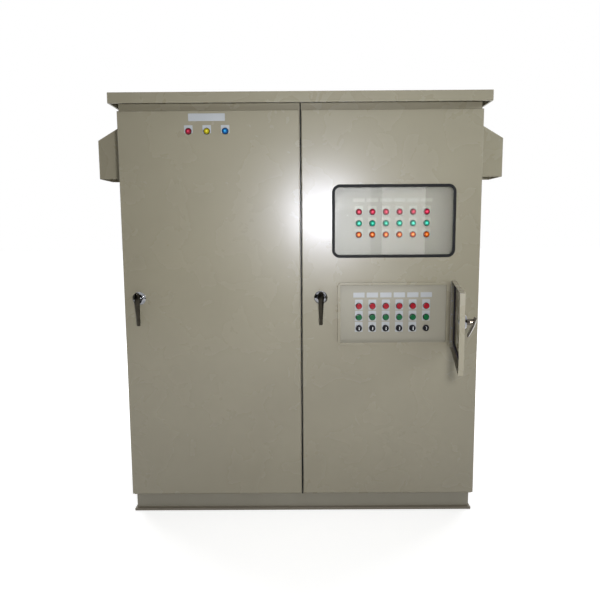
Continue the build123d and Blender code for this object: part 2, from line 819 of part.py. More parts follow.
def lever(x, z, face_y, shaft_end_y, with_rosette):
    """Ridged lever on a conical neck, with its shaft through the panel at face_y."""
    nose_y = face_y - rosette_height
    ridge_y = face_y - lever_reach
    back_y = ridge_y + lever_thick
    with BuildPart() as handle:
        with BuildSketch(Plane.YZ.offset(x)) as side:
            Polygon(
                (ridge_y, z + lever_head),
                (ridge_y, z),
                (ridge_y + lever_tip_drop, z - lever_tail),
                (back_y + lever_tip_drop, z - lever_tail),
                (back_y, z),
                (back_y, z + lever_head),
                align=None,
            )
        extrude(side.sketch, amount=lever_width / 2, both=True)
        right = lever_outline()
        left = [(-half, height) for half, height in reversed(right)]
        with BuildSketch(facing(back_y + lever_tip_drop)) as front:
            Polygon(*[(x + half, z + height) for half, height in right + left], align=None)
        extrude(front.sketch, amount=lever_thick + lever_tip_drop, mode=Mode.INTERSECT)
        for end in (1, -1):
            with BuildSketch(Plane.XY.offset(z)) as bevel:
                Polygon(
                    (x, ridge_y),
                    (x + end * lever_width / 2, ridge_y + lever_ridge_height),
                    (x + end * lever_width / 2, ridge_y),
                    align=None,
                )
            extrude(bevel.sketch, amount=lever_head, mode=Mode.SUBTRACT)
            slope = Vector(0, lever_tip_drop, -lever_tail)
            extrude(bevel.sketch, amount=slope.length, dir=slope, mode=Mode.SUBTRACT)
        if with_rosette:
            rosette_y = (nose_y, face_y - lever_face_clearance)
            bar(x, z, rosette_radius, rosette_y, rosette_sides, rosette_bevel)
        neck_back_y = nose_y if with_rosette else nose_y - lever_face_clearance
        bar(x, z, lever_neck_radius, (back_y, neck_back_y))
        bar(x, z, lever_shaft_radius, (neck_back_y, shaft_end_y))
    return handle


def lock_set(bay):
    """Rosette outside, and lock case and rod guides inside, all fixed to a door."""
    x = bay.lever_x
    back_y = rod_back_y + lock_case_back
    with BuildPart() as lock:
        rosette_y = (door_y - rosette_height, door_y)
        bar(x, lever_height, rosette_radius, rosette_y, rosette_sides, rosette_bevel)
        shaft_bore = lever_shaft_radius + lever_shaft_clearance
        bore(x, lever_height, shaft_bore, (door_y - rosette_height - overrun, door_y))
        case_x = around(x, lock_case_width)
        case_z = around(lever_height, lock_case_height)
        block(case_x, (door_inner_y, back_y), case_z)
        hollow_y = (door_inner_y, back_y - lock_case_wall)
        block(grown(case_x, -lock_case_wall), hollow_y, grown(case_z, -lock_case_wall), Mode.SUBTRACT)
        slot_y = grown((rod_front_y, rod_back_y), rod_slot_clearance)
        for end in (1, -1):
            rod_x = around(x - end * rod_offset, rod_width + 2 * rod_slot_clearance)
            wall_z = lever_height + end * (lock_case_height - lock_case_wall) / 2
            block(rod_x, slot_y, around(wall_z, lock_case_wall + overrun), Mode.SUBTRACT)
            tip_z = rod_tip_z(end)
            for share in guide_spacing_shares:
                guide_z = around(lever_height + (tip_z - lever_height) * share, guide_height)
                guide_x = around(x - end * rod_offset, guide_width)
                block(guide_x, (door_inner_y, rod_back_y + guide_back), guide_z)
                block(rod_x, slot_y, guide_z, Mode.SUBTRACT)
    return lock.part


def rod_tip_z(end):
    """Height of a withdrawn rod's tip, just inside the door opening."""
    if end > 0:
        return open_high_z - latch_tip_clearance
    return open_low_z + latch_tip_clearance


def latch_rod(bay, end):
    """Flat sliding rod, from inside the lock case to its tip."""
    root_z = lever_height + end * (lock_case_height / 2 - rod_overlap)
    with BuildPart() as rod:
        rod_x = around(bay.lever_x - end * rod_offset, rod_width)
        block(rod_x, (rod_front_y, rod_back_y), sorted((root_z, rod_tip_z(end))))
    return rod.part


for bay, name in zip(bays, ("left", "right")):
    save(lock_set(bay), f"{name}_lock_set")
    save(lever(bay.lever_x, lever_height, door_y, rod_front_y, False).part, f"{name}_lever")
    save(latch_rod(bay, 1), f"{name}_upper_rod")
    save(latch_rod(bay, -1), f"{name}_lower_rod")

# Flap: every piece on it is drawn shut and then swung open about the piano hinge
flap_x = around(field_x, flap_width)
flap_z = around(rim_z - flap_drop, flap_height)
flap_lever_x = flap_x[0] + flap_lever_edge_inset
flap_lever_z = flap_z[1] - flap_lever_head_inset
cam_y = rim_y + rim_sheet + cam_lip_clearance


def swung_open(part):
    """Turn a piece of the flap from shut to its open place."""
    return part.rotate(flap_axis, flap_open_angle)


with BuildPart() as flap_door:
    block(flap_x, (flap_y, flap_back_y), flap_z)
    block(grown(flap_x, -flap_sheet), (flap_inner_y, flap_back_y), grown(flap_z, -flap_sheet), Mode.SUBTRACT)
    bore(flap_lever_x, flap_lever_z, shaft_hole_radius, (flap_y - overrun, flap_inner_y))
save(swung_open(flap_door.part), "flap_door")

with BuildPart() as flap_seal:
    flap_seal_y = (flap_inner_y, rim_y - flap_seal_clearance)
    rim_middle_x = around(field_x, rim_width - rim_lip)
    rim_middle_z = around(rim_z, rim_height - rim_lip)
    block(grown(rim_middle_x, flap_seal_width / 2), flap_seal_y, grown(rim_middle_z, flap_seal_width / 2))
    block(
        grown(rim_middle_x, -flap_seal_width / 2),
        flap_seal_y,
        grown(rim_middle_z, -flap_seal_width / 2),
        Mode.SUBTRACT,
    )
save(swung_open(flap_seal.part), "flap_seal")

flap_lever_build = lever(flap_lever_x, flap_lever_z, flap_y, cam_y + cam_thick + cam_nut_height, True)
with BuildPart() as flap_lever:
    add(flap_lever_build.part)
    cam_span_x = (flap_lever_x - cam_reach, flap_lever_x + cam_width / 2)
    block(cam_span_x, (cam_y, cam_y + cam_thick), around(flap_lever_z, cam_width))
    nut_plane = facing(cam_y + cam_thick + cam_nut_height)
    with BuildSketch(nut_plane) as nut:
        with Locations((flap_lever_x, flap_lever_z)):
            RegularPolygon(cam_nut_radius, side_count=6)
    extrude(nut.sketch, amount=cam_nut_height)
flap_lever_axis = Axis((flap_lever_x, 0, flap_lever_z), (0, -1, 0))
save(swung_open(flap_lever.part.rotate(flap_lever_axis, flap_lever_angle)), "flap_lever")

# Piano hinge: knuckles alternate between the leaf on the door and the leaf on the flap
piano_pitch = piano_length / piano_knuckle_count
piano_low_z = rim_z - piano_length / 2
leaf_x = piano_x + piano_knuckle_radius + piano_leaf_gap
leaf_y = piano_y - piano_knuckle_radius - piano_leaf_gap


def knuckle_span(i):
    """Low and high ends of one knuckle of the piano hinge."""
    low = piano_low_z + i * piano_pitch
    return (low + piano_knuckle_gap / 2, low + piano_pitch - piano_knuckle_gap / 2)


piano_span = (piano_low_z, piano_low_z + piano_length)
with BuildPart() as flap_hinge_fixed:
    block((leaf_x, leaf_x + piano_leaf_width), (door_y - piano_leaf_thick, door_y), piano_span)
    for i in range(0, piano_knuckle_count, 2):
        block((piano_x, leaf_x), (door_y - piano_leaf_thick, door_y), knuckle_span(i))
        upright_bar(piano_x, piano_y, piano_knuckle_radius, knuckle_span(i))
    pin_span = grown(piano_span, -piano_knuckle_gap / 2)
    upright_bar(piano_x, piano_y, piano_pin_radius, pin_span)
save(flap_hinge_fixed.part, "flap_hinge_fixed")

with BuildPart() as flap_hinge_moving:
    moving_x = (flap_x[1], flap_x[1] + piano_leaf_thick)
    block(moving_x, (leaf_y - piano_leaf_width + piano_leaf_gap, leaf_y), piano_span)
    for i in range(1, piano_knuckle_count, 2):
        block(moving_x, (leaf_y, piano_y), knuckle_span(i))
        upright_bar(piano_x, piano_y, piano_knuckle_radius, knuckle_span(i))
        upright_bore(piano_x, piano_y, piano_pin_radius + piano_pin_clearance, knuckle_span(i))
save(swung_open(flap_hinge_moving.part), "flap_hinge_moving")
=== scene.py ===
"""Looks of an outdoor control cabinet: finishes, fine pieces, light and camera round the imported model."""

import json
import logging
import math
from dataclasses import dataclass, field
from enum import Enum
from typing import Any, Sequence

import bmesh
import bpy
from mathutils import Matrix, Vector

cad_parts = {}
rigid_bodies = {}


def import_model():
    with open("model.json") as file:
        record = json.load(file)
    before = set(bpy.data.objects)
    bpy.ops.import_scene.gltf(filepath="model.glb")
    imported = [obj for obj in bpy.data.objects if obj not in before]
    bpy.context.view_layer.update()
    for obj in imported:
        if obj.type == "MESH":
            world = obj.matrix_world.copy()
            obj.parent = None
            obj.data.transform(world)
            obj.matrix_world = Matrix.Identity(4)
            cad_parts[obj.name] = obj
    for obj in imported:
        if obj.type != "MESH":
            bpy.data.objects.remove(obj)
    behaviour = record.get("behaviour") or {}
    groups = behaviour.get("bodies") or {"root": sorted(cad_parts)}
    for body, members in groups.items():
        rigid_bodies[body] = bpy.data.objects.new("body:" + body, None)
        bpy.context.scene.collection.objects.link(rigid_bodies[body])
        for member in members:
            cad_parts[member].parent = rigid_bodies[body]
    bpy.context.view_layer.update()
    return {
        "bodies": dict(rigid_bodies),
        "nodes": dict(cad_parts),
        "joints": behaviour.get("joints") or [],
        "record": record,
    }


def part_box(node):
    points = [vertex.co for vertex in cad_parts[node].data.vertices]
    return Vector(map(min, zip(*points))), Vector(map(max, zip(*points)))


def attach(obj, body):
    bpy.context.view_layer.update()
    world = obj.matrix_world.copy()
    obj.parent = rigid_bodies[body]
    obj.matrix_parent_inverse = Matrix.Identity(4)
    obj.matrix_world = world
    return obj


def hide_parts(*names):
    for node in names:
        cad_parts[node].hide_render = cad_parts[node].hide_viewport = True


LOG = logging.getLogger("cabinet")
MM = 0.001
Pair = tuple[float, float]
Triple = tuple[float, float, float]
Rgba = tuple[float, float, float, float]
Tree = bpy.types.NodeTree
Node = bpy.types.Node
Socket = bpy.types.NodeSocket
Mesh = bpy.types.Mesh
Piece = bpy.types.Object
Point = bmesh.types.BMVert
Steps = tuple[int, Triple]
ONE: Steps = (1, (0.0, 0.0, 0.0))
HOLDER_DEPTHS: Pair = (-32.0, -2.02)
SHAFT_END_MM = -35.0


def linear(code: str) -> Rgba:
    """Turn an sRGB hex colour into the linear colour that shaders take.

    Args:
        code: Colour such as "#9A9384".

    Returns:
        Linear red, green and blue, with an alpha of 1.
    """
    parts = [int(code[start:start + 2], 16) / 255.0 for start in (1, 3, 5)]
    flat = [part / 12.92 if part <= 0.04045 else ((part + 0.055) / 1.055) ** 2.4 for part in parts]
    return (flat[0], flat[1], flat[2], 1.0)


def per_mm(size: float) -> float:
    """Give the texture scale at which a pattern's features are about that many millimetres wide."""
    return 1.0 / (size * MM)


def add_node(tree: Tree, kind: str, inputs: dict[Any, Any] | None = None, **settings: Any) -> Any:
    """Add a node with its settings, and link or set its inputs.

    Args:
        tree: Node tree that gets the node.
        kind: Blender's name for the node.
        inputs: Values or sockets by the input's name or number.
        settings: Properties of the node itself.

    Returns:
        The new node.
    """
    node = tree.nodes.new(kind)
    for key, value in settings.items():
        setattr(node, key, value)
    for key, value in (inputs or {}).items():
        if isinstance(value, Socket):
            tree.links.new(value, node.inputs[key])
        else:
            node.inputs[key].default_value = value
    return node


def facing(origin: Sequence[float], out: Sequence[float] = (0.0, -1.0, 0.0), turn: float = 0.0) -> Matrix:
    """Give the frame of a face: its right, up and outward axes at a point on it.

    Args:
        origin: Point on the face in metres.
        out: Direction that the face looks in, level with the floor.
        turn: Degrees by which right and up are turned about out.

    Returns:
        Matrix from the face's own axes to the row frame.
    """
    outward = Vector(out).normalized()
    up = Vector((0.0, 0.0, 1.0))
    right = up.cross(outward)
    angle = math.radians(turn)
    turned_right = right * math.cos(angle) + up * math.sin(angle)
    turned_up = up * math.cos(angle) - right * math.sin(angle)
    axes = Matrix((turned_right, turned_up, outward)).transposed()
    return Matrix.Translation(Vector(origin)) @ axes.to_4x4()


@dataclass(frozen=True)
class Finish:
    """A real material, made once as a node material on Object coordinates."""

    name: str
    colour: str
    roughness: float

    def material(self) -> bpy.types.Material:
        """Give the finish's material, which is built the first time.

        Returns:
            The node material.
        """
        made = bpy.data.materials.get(self.name)
        if made is None:
            made = bpy.data.materials.new(self.name)
            made.use_nodes = True
            shader = made.node_tree.nodes["Principled BSDF"]
            shader.inputs["Base Color"].default_value = linear(self.colour)
            shader.inputs["Roughness"].default_value = self.roughness
            place = add_node(made.node_tree, "ShaderNodeTexCoord").outputs["Object"]
            self.surface(made.node_tree, shader, place)
        return made

    def surface(self, tree: Tree, shader: Node, place: Socket) -> None:
        """Add the finish's own detail to its shader.

        Args:
            tree: The material's node tree.
            shader: Its Principled shader.
            place: Object coordinates.
        """
        raise NotImplementedError

    def tones(self, tree: Tree, shader: Node, coats: Sequence[tuple[Socket, str]]) -> None:
        """Lay colours over the finish's own, one after another.

        Args:
            tree: The material's node tree.
            shader: Its Principled shader.
            coats: How much of each colour shows, and the colour.
        """
        under: Any = linear(self.colour)
        for share, colour in coats:
            mixed = add_node(
                tree, "ShaderNodeMix", {"Factor": share, 6: under, 7: linear(colour)}, data_type="RGBA"
            )
            under = mixed.outputs[2]
        tree.links.new(under, shader.inputs["Base Color"])

    def polished(self, tree: Tree, shader: Node, marks: Socket, seen: Pair, change: Pair) -> None:
        """Vary the roughness with a pattern of marks.

        Args:
            tree: The material's node tree.
            shader: Its Principled shader.
            marks: The pattern.
            seen: Values of the pattern between which it shows.
            change: What it adds to the roughness at those values.
        """
        gloss = add_node(
            tree,
            "ShaderNodeMapRange",
            {
                "Value": marks,
                "From Min": seen[0],
                "From Max": seen[1],
                "To Min": self.roughness + change[0],
                "To Max": self.roughness + change[1],
            },
        )
        tree.links.new(gloss.outputs["Result"], shader.inputs["Roughness"])


@dataclass(frozen=True)
class PowderCoat(Finish):
    """Polyester powder coat baked on folded sheet steel."""

    # Satin film: a soft broad highlight broken by orange peel and by the sheet's own slight waves,
    # with a painted blue tint in that highlight, faint clouds of tone, a few rubbed smudges, rubbed
    # patches that darken towards the foot as part dust and part painted shade, upward faces lightened
    # by settled dust and a painted highlight of their lit tops, and soil splashed on the lowest strip.
    shade: str
    low_dust_and_shade: str
    cloud_mm: float = 260.0
    smudge_mm: float = 150.0
    peel_mm: float = 5.0
    wave_mm: float = 420.0
    wave_depth_mm: float = 3.0
    peel_depth_mm: float = 0.25
    low_dust_and_shade_height_mm: float = 420.0
    top_dust_and_light: str = "#B4AD9C"
    soil: str = "#6E6656"
    splash: float = 0.8
    splash_height_mm: float = 12.0
    film: float = 0.56
    painted_blue_highlight_tint: str = "#F2F4FF"

    def surface(self, tree: Tree, shader: Node, place: Socket) -> None:
        """Add tone, smudges, dust with painted shade and light, soil, orange peel and sheet waves."""
        cloud, rub, wave, peel = (
            add_node(
                tree, "ShaderNodeTexNoise", {"Vector": place, "Scale": per_mm(size), **more}
            ).outputs["Fac"]
            for size, more in (
                (self.cloud_mm, {"Detail": 3.0}),
                (self.smudge_mm, {"Detail": 6.0, "Distortion": 0.6}),
                (self.wave_mm, {"Detail": 1.0}),
                (self.peel_mm, {"Detail": 2.0}),
            )
        )
        height = add_node(tree, "ShaderNodeSeparateXYZ", {"Vector": place}).outputs["Z"]
        lie = add_node(tree, "ShaderNodeNewGeometry").outputs["Normal"]
        tilt = add_node(tree, "ShaderNodeSeparateXYZ", {"Vector": lie}).outputs["Z"]
        splash_top = self.splash_height_mm * MM
        smudge, low, upward, splash = (
            add_node(
                tree,
                "ShaderNodeMapRange",
                {"Value": value, "From Min": start, "From Max": end, "To Min": first, "To Max": last},
            ).outputs["Result"]
            for value, start, end, first, last in (
                (rub, 0.60, 0.85, 0.0, 0.15),
                (height, 0.0, self.low_dust_and_shade_height_mm * MM, 0.55, 0.0),
                (tilt, 0.6, 1.0, 0.0, 0.6),
                (height, splash_top, splash_top * 1.25, self.splash, 0.0),
            )
        )
        # Rubbed patches that darken towards the foot: part dust, part painted shade of the lower doors.
        low_dust_and_shade_share = add_node(tree, "ShaderNodeMath", {0: low, 1: rub}, operation="MULTIPLY").outputs["Value"]
        coats = ((cloud, self.shade), (smudge, self.shade), (low_dust_and_shade_share, self.low_dust_and_shade))
        # Upward faces are lightened: part settled dust, part a painted highlight of their lit tops.
        self.tones(tree, shader, (*coats, (upward, self.top_dust_and_light), (splash, self.soil)))
        self.polished(tree, shader, rub, (0.3, 0.8), (-0.01, 0.02))
        shader.inputs["Specular IOR Level"].default_value = self.film
        # The reflection is tinted blue: a painted tint of cool light in the highlight.
        shader.inputs["Specular Tint"].default_value = linear(self.painted_blue_highlight_tint)
        bowed = add_node(
            tree, "ShaderNodeBump", {"Height": wave, "Strength": 0.6, "Distance": self.wave_depth_mm * MM}
        )
        pitted = add_node(
            tree,
            "ShaderNodeBump",
            {
                "Height": peel,
                "Strength": 0.12,
                "Distance": self.peel_depth_mm * MM,
                "Normal": bowed.outputs["Normal"],
            },
        )
        tree.links.new(pitted.outputs["Normal"], shader.inputs["Normal"])


@dataclass(frozen=True)
class PlatedMetal(Finish):
    """Metal with a plated skin, either polished or as it leaves the bath."""

    # Chrome: a hard mirror with fine wiping marks, its colour darkened and broken into patches
    # as painted reflections of dark surroundings.
    # Zinc: a grey sheen in crystal patches a few millimetres wide.
    shade: str
    patch_mm: float
    wipe_mm: float
    spread: float
    bare: float = 1.0

    def surface(self, tree: Tree, shader: Node, place: Socket) -> None:
        """Add the patches, zinc's crystal spangle and chrome's painted reflections, and wiping marks."""
        shader.inputs["Metallic"].default_value = self.bare
        patch = add_node(tree, "ShaderNodeTexVoronoi", {"Vector": place, "Scale": per_mm(self.patch_mm)})
        self.tones(tree, shader, [(patch.outputs["Distance"], self.shade)])
        wipe = add_node(
            tree, "ShaderNodeTexNoise", {"Vector": place, "Scale": per_mm(self.wipe_mm), "Detail": 5.0}
        )
        self.polished(tree, shader, wipe.outputs["Fac"], (0.3, 0.7), (0.0, self.spread))


@dataclass(frozen=True)
class Moulding(Finish):
    """Plastic or rubber shaped in a mould."""

    # Tool texture: a fine even grain that softens the highlight, over slight flow marks in the colour.
    shade: str
    grain_mm: float
    grain_depth_mm: float
    flow_mm: float = 18.0
    gloss: float = 0.5

    def surface(self, tree: Tree, shader: Node, place: Socket) -> None:
        """Add flow marks to the colour and grain to the skin."""
        shader.inputs["Specular IOR Level"].default_value = self.gloss
        flow, grain = (
            add_node(tree, "ShaderNodeTexNoise", {"Vector": place, "Scale": per_mm(size), "Detail": detail})
            for size, detail in ((self.flow_mm, 3.0), (self.grain_mm, 2.0))
        )
        self.tones(tree, shader, [(flow.outputs["Fac"], self.shade)])
        skin = add_node(
            tree,
            "ShaderNodeBump",
            {"Height": grain.outputs["Fac"], "Strength": 0.5, "Distance": self.grain_depth_mm * MM},
        )
        tree.links.new(skin.outputs["Normal"], shader.inputs["Normal"])


@dataclass(frozen=True)
class LensPlastic(Finish):
    """Tinted clear plastic of a pilot lamp."""

    # Cut facets catch the light at the crown. The dark rim is painted shade on a separate skirt,
    # the bright middle a painted highlight, and each lens has a faint painted glow.
    shade: str
    glow: float = 0.12
    gloss: float = 0.22
    scatter_mm: float = 6.0

    def surface(self, tree: Tree, shader: Node, place: Socket) -> None:
        """Add the uneven tint of light scattered in the lens, and a little painted glow."""
        scatter = add_node(
            tree, "ShaderNodeTexNoise", {"Vector": place, "Scale": per_mm(self.scatter_mm), "Detail": 2.0}
        )
        self.tones(tree, shader, [(scatter.outputs["Fac"], self.shade)])
        shader.inputs["IOR"].default_value = 1.49
        shader.inputs["Specular IOR Level"].default_value = self.gloss
        # Painted glow: the lens gives off a little of its own colour, which keeps its tint saturated.
        shader.inputs["Emission Color"].default_value = linear(self.colour)
        shader.inputs["Emission Strength"].default_value = self.glow


@dataclass(frozen=True)
class ClearSheet(Finish):
    """Cast acrylic sheet of the window."""

    # Clear and glossy, with a thin film of dust and wiping marks that only shows in reflections.
    wipe_mm: float = 90.0

    def surface(self, tree: Tree, shader: Node, place: Socket) -> None:
        """Let light through and vary the gloss with wiping marks."""
        shader.inputs["IOR"].default_value = 1.49
        shader.inputs["Transmission Weight"].default_value = 1.0
        wipe = add_node(
            tree, "ShaderNodeTexNoise", {"Vector": place, "Scale": per_mm(self.wipe_mm), "Detail": 5.0}
        )
        self.polished(tree, shader, wipe.outputs["Fac"], (0.45, 0.8), (0.0, 0.05))


PAINT = PowderCoat("powder_coat_beige", "#9A947F", 0.27, "#938D79", "#88816D")
# The operator panel is paler than the doors: partly its own lighter paint, partly painted light that
# cancels the shade of its recess.
LIT_PANEL_PAINT = PowderCoat("powder_coat_panel_painted_light", "#A29E8E", 0.36, "#9C9888", "#908C7C", film=0.35)
# The lamp tray's paint is darker than the doors': painted shade for the window pane, which casts no shadow.
SHADED_TRAY_PAINT = PowderCoat("powder_coat_tray_painted_shade", "#7E796B", 0.40, "#787365", "#6E695C")
PLINTH_PAINT = PowderCoat("powder_coat_plinth", "#928E7E", 0.42, "#888475", "#7A7464", cloud_mm=120.0)
# Chrome colours are painted reflections of dark surroundings: mildly darkened on the rosettes, nearly black
# on the door levers, and brownish on the flap lever for the ground it reflects.
CHROME = PlatedMetal("chrome_plate", "#9A9B9E", 0.08, "#808287", 14.0, 22.0, 0.08)
GRIP_CHROME = PlatedMetal("chrome_painted_dark_reflection", "#3A372F", 0.12, "#2C2924", 14.0, 22.0, 0.10)
FLAP_CHROME = PlatedMetal("chrome_painted_ground_reflection", "#6A645B", 0.10, "#565048", 14.0, 22.0, 0.10)
ZINC = PlatedMetal("zinc_plated_steel", "#A9ACAE", 0.34, "#8F9295", 9.0, 40.0, 0.12)
# The hinge steel is near-white and barely metallic: painted light for the bright reflection on its leaves.
STAINLESS = PlatedMetal("stainless_steel_painted_light", "#D4D2D6", 0.45, "#C6C4C9", 30.0, 8.0, 0.14, 0.15)
RUBBER = Moulding("epdm_rubber", "#0E0F11", 0.55, "#161719", 1.5, 0.12, gloss=0.2)
SPONGE = Moulding("epdm_sponge", "#4A454C", 0.70, "#3E3A41", 2.0, 0.25, gloss=0.1)
ACRYLIC = ClearSheet("cast_acrylic", "#F4F7F6", 0.01)
BLACK_ABS = Moulding("abs_black", "#0F0F15", 0.36, "#15151C", 1.2, 0.06, gloss=0.2)
GREY_ABS = Moulding("abs_grey", "#A9ABA8", 0.42, "#9DA09E", 1.2, 0.06)
WHITE_ABS = Moulding("abs_white", "#F0F1F2", 0.40, "#E6E7E8", 1.2, 0.04)
LAMINATE = Moulding("engraving_laminate_white", "#B6B9BB", 0.35, "#ADB1B3", 1.0, 0.03, 60.0)
SMOKED_LAMINATE = Moulding("engraving_laminate_smoked", "#8C897D", 0.40, "#858276", 1.0, 0.03, 60.0)


class Tint(Enum):
    """Colours of lamps and buttons: the body's two tones, the painted shade of a skirt, and the painted
    highlight of a core.
    """

    RED = ("#98102E", "#700A20", "#3A0612", "#E0506A")
    GREEN = ("#0E8A70", "#086450", "#043028", "#5CDCC0")
    AMBER = ("#B0480A", "#84300A", "#481A08", "#F6A04A")
    YELLOW = ("#AFA208", "#837804", "#3A3604", "#F4EC5A")
    BLUE = ("#065FA0", "#044476", "#032840", "#4CB8F0")
    CAP_RED = ("#A81426", "#90101F", "#3A0A10", "#D84A56")
    CAP_GREEN = ("#086638", "#06562E", "#06301E", "#3AA070")

    def lens(self) -> LensPlastic:
        """Give the lens finish of this colour."""
        return LensPlastic("polycarbonate_" + self.name.lower(), self.value[0], 0.12, self.value[1])

    def skirt(self) -> LensPlastic:
        """Give the dark finish of a lens's skirt: painted shade for the lens's dark rim."""
        name = "polycarbonate_skirt_" + self.name.lower()
        return LensPlastic(name, self.value[2], 0.12, self.value[1], 0.0)

    def core(self) -> LensPlastic:
        """Give the bright, faintly glowing finish of a lens's crown: a painted highlight over its middle.
        """
        name = "polycarbonate_core_" + self.name.lower()
        return LensPlastic(name, self.value[3], 0.12, self.value[0], 0.2)

    def cap(self) -> Moulding:
        """Give the push-button cap finish of this colour."""
        name = "polyamide_" + self.name.lower()
        return Moulding(name, self.value[0], 0.24, self.value[1], 1.0, 0.03, gloss=0.3)


class Former:
    """Gathers turned, bevelled and lofted forms into one mesh, in mm right, up and out of a face."""

    def __init__(self) -> None:
        """Start with an empty mesh and the first finish."""
        self.form = bmesh.new()
        self.finish = 0

    def point(self, right: float, up: float, out: float) -> Point:
        """Add one point of the form."""
        return self.form.verts.new((right * MM, up * MM, out * MM))

    def skin(self, corners: Sequence[Point]) -> None:
        """Add one face, leaving out repeated corners."""
        self.form.faces.new(list(dict.fromkeys(corners))).material_index = self.finish

    def joined(self, rows: Sequence[Sequence[Point]], ring: bool = False) -> None:
        """Join closed rows of points into a closed skin.

        Args:
            rows: Rows of equal length, or of one point at a pole.
            ring: Whether the last row joins the first; otherwise open ends are capped.
        """
        pairs = list(zip(rows, rows[1:]))
        if ring:
            pairs.append((rows[-1], rows[0]))
        else:
            for end in (rows[0], rows[-1]):
                if len(end) > 2:
                    self.skin(end)
        for low, high in pairs:
            sides = max(len(low), len(high))
            for step in range(sides):
                after = (step + 1) % sides
                self.skin(
                    [
                        low[step % len(low)],
                        low[after % len(low)],
                        high[after % len(high)],
                        high[step % len(high)],
                    ]
                )

    def turned(
        self,
        profile: Sequence[Pair],
        sides: int = 32,
        centre: Pair = (0.0, 0.0),
        ring: bool = False,
        twist: float = 0.0,
    ) -> None:
        """Turn a profile about an axis that points out of the face.

        Args:
            profile: Points of radius and height out of the face.
            sides: Steps round the axis.
            centre: Where the axis stands, right and up.
            ring: Whether the profile closes on itself.
            twist: Share of a step by which each row turns on from the one before.
        """
        rows = []
        for count, (radius, out) in enumerate(profile):
            steps = sides if radius > 0.0 else 1
            row = []
            for step in range(steps):
                angle = math.tau * (step + twist * count) / sides
                across = centre[0] + radius * math.cos(angle)
                row.append(self.point(across, centre[1] + radius * math.sin(angle), out))
            rows.append(row)
        self.joined(rows, ring)

    def slab(self, low: Triple, high: Triple, bevel: float, steps: int = 2) -> None:
        """Add a block with rounded edges.

        Args:
            low: Lowest corner.
            high: Highest corner.
            bevel: Width of the rounded edge.
            steps: Faces across the rounded edge.
        """
        made = bmesh.ops.create_cube(self.form, size=1.0)["verts"]
        for vert in made:
            vert.co = Vector(
                [
                    ((start + end) / 2 + share * (end - start)) * MM
                    for start, end, share in zip(low, high, vert.co)
                ]
            )
        edges = list(dict.fromkeys(edge for vert in made for edge in vert.link_edges))
        for face in dict.fromkeys(face for vert in made for face in vert.link_faces):
            face.material_index = self.finish
        bmesh.ops.bevel(
            self.form, geom=edges, offset=bevel * MM, segments=steps, profile=0.5, affect="EDGES"
        )

    def plate(self, centre: Pair, size: Pair, out: Pair, radius: float, steps: int = 4) -> None:
        """Add a flat plate with rounded corners.

        Args:
            centre: Middle of the plate, right and up.
            size: Width and height.
            out: Heights of its back and front.
            radius: Corner radius.
            steps: Faces round each corner.
        """
        loop = []
        for corner, (side, rise) in enumerate(((1, 1), (-1, 1), (-1, -1), (1, -1))):
            for step in range(steps + 1):
                angle = math.pi / 2 * (corner + step / steps)
                across = centre[0] + side * (size[0] / 2 - radius) + radius * math.cos(angle)
                along = centre[1] + rise * (size[1] / 2 - radius) + radius * math.sin(angle)
                loop.append((across, along))
        self.joined([[self.point(across, along, height) for across, along in loop] for height in out])

    def mesh(self, name: str, place: Matrix) -> Mesh:
        """Close the form and move it to its place.

        Args:
            name: Name of the mesh.
            place: Frame of the face that carries it.

        Returns:
            The finished mesh.
        """
        bmesh.ops.recalc_face_normals(self.form, faces=self.form.faces)
        self.form.transform(place)
        made = bpy.data.meshes.new(name)
        self.form.to_mesh(made)
        self.form.free()
        return made


def set_out(
    name: str,
    mesh: Mesh,
    body: str,
    finishes: Sequence[Finish] = (),
    stands_for: Sequence[str] = (),
    crease: float = 35.0,
) -> Piece:
    """Put a finished mesh in the scene as a piece that rides on a body.

    Args:
        name: Name of the piece.
        mesh: Its mesh, in the row frame.
        body: Body that it moves with.
        finishes: Finishes in the order of the mesh's material numbers.
        stands_for: CAD nodes that it is shown in place of.
        crease: Angle in degrees past which an edge stays sharp.

    Returns:
        The piece.
    """
    for finish in finishes:
        mesh.materials.append(finish.material())
    mesh.shade_smooth()
    mesh.set_sharp_from_angle(angle=math.radians(crease))
    piece = bpy.data.objects.new(name, mesh)
    bpy.context.scene.collection.objects.link(piece)
    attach(piece, body)
    if stands_for:
        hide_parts(*stands_for)
    LOG.info("%s: %d faces on %s", name, len(mesh.polygons), body)
    return piece


def run_tree(name: str, tree: Tree, values: dict[str, Any], place: Matrix) -> Mesh:
    """Run a Geometry Nodes tree and keep what it makes as a plain mesh.

    Args:
        name: Name of the mesh.
        tree: The tree to run.
        values: Its inputs by their names.
        place: Frame of the face that carries the result.

    Returns:
        The finished mesh.
    """
    carrier = bpy.data.objects.new(name + "_carrier", bpy.data.meshes.new(name + "_carrier"))
    bpy.context.scene.collection.objects.link(carrier)
    step = carrier.modifiers.new("form", "NODES")
    step.node_group = tree
    for item in tree.interface.items_tree:
        if item.in_out == "INPUT":
            step[item.identifier] = values[item.name]
    graph = bpy.context.evaluated_depsgraph_get()
    made = bpy.data.meshes.new_from_object(carrier.evaluated_get(graph), depsgraph=graph)
    carrier.modifiers.remove(step)
    bpy.data.objects.remove(carrier)
    made.name = name
    made.transform(place)
    return made


def start_tree(name: str, inputs: dict[str, str]) -> tuple[Tree, Node]:
    """Start a Geometry Nodes tree with named inputs and one output.

    Args:
        name: Name of the tree.
        inputs: Kinds of socket by the input's name.

    Returns:
        The tree and its input node.
    """
    tree = bpy.data.node_groups.new(name, "GeometryNodeTree")
    tree.interface.new_socket("Geometry", in_out="OUTPUT", socket_type="NodeSocketGeometry")
    for label, kind in inputs.items():
        tree.interface.new_socket(label, in_out="INPUT", socket_type=kind)
    return tree, add_node(tree, "NodeGroupInput")


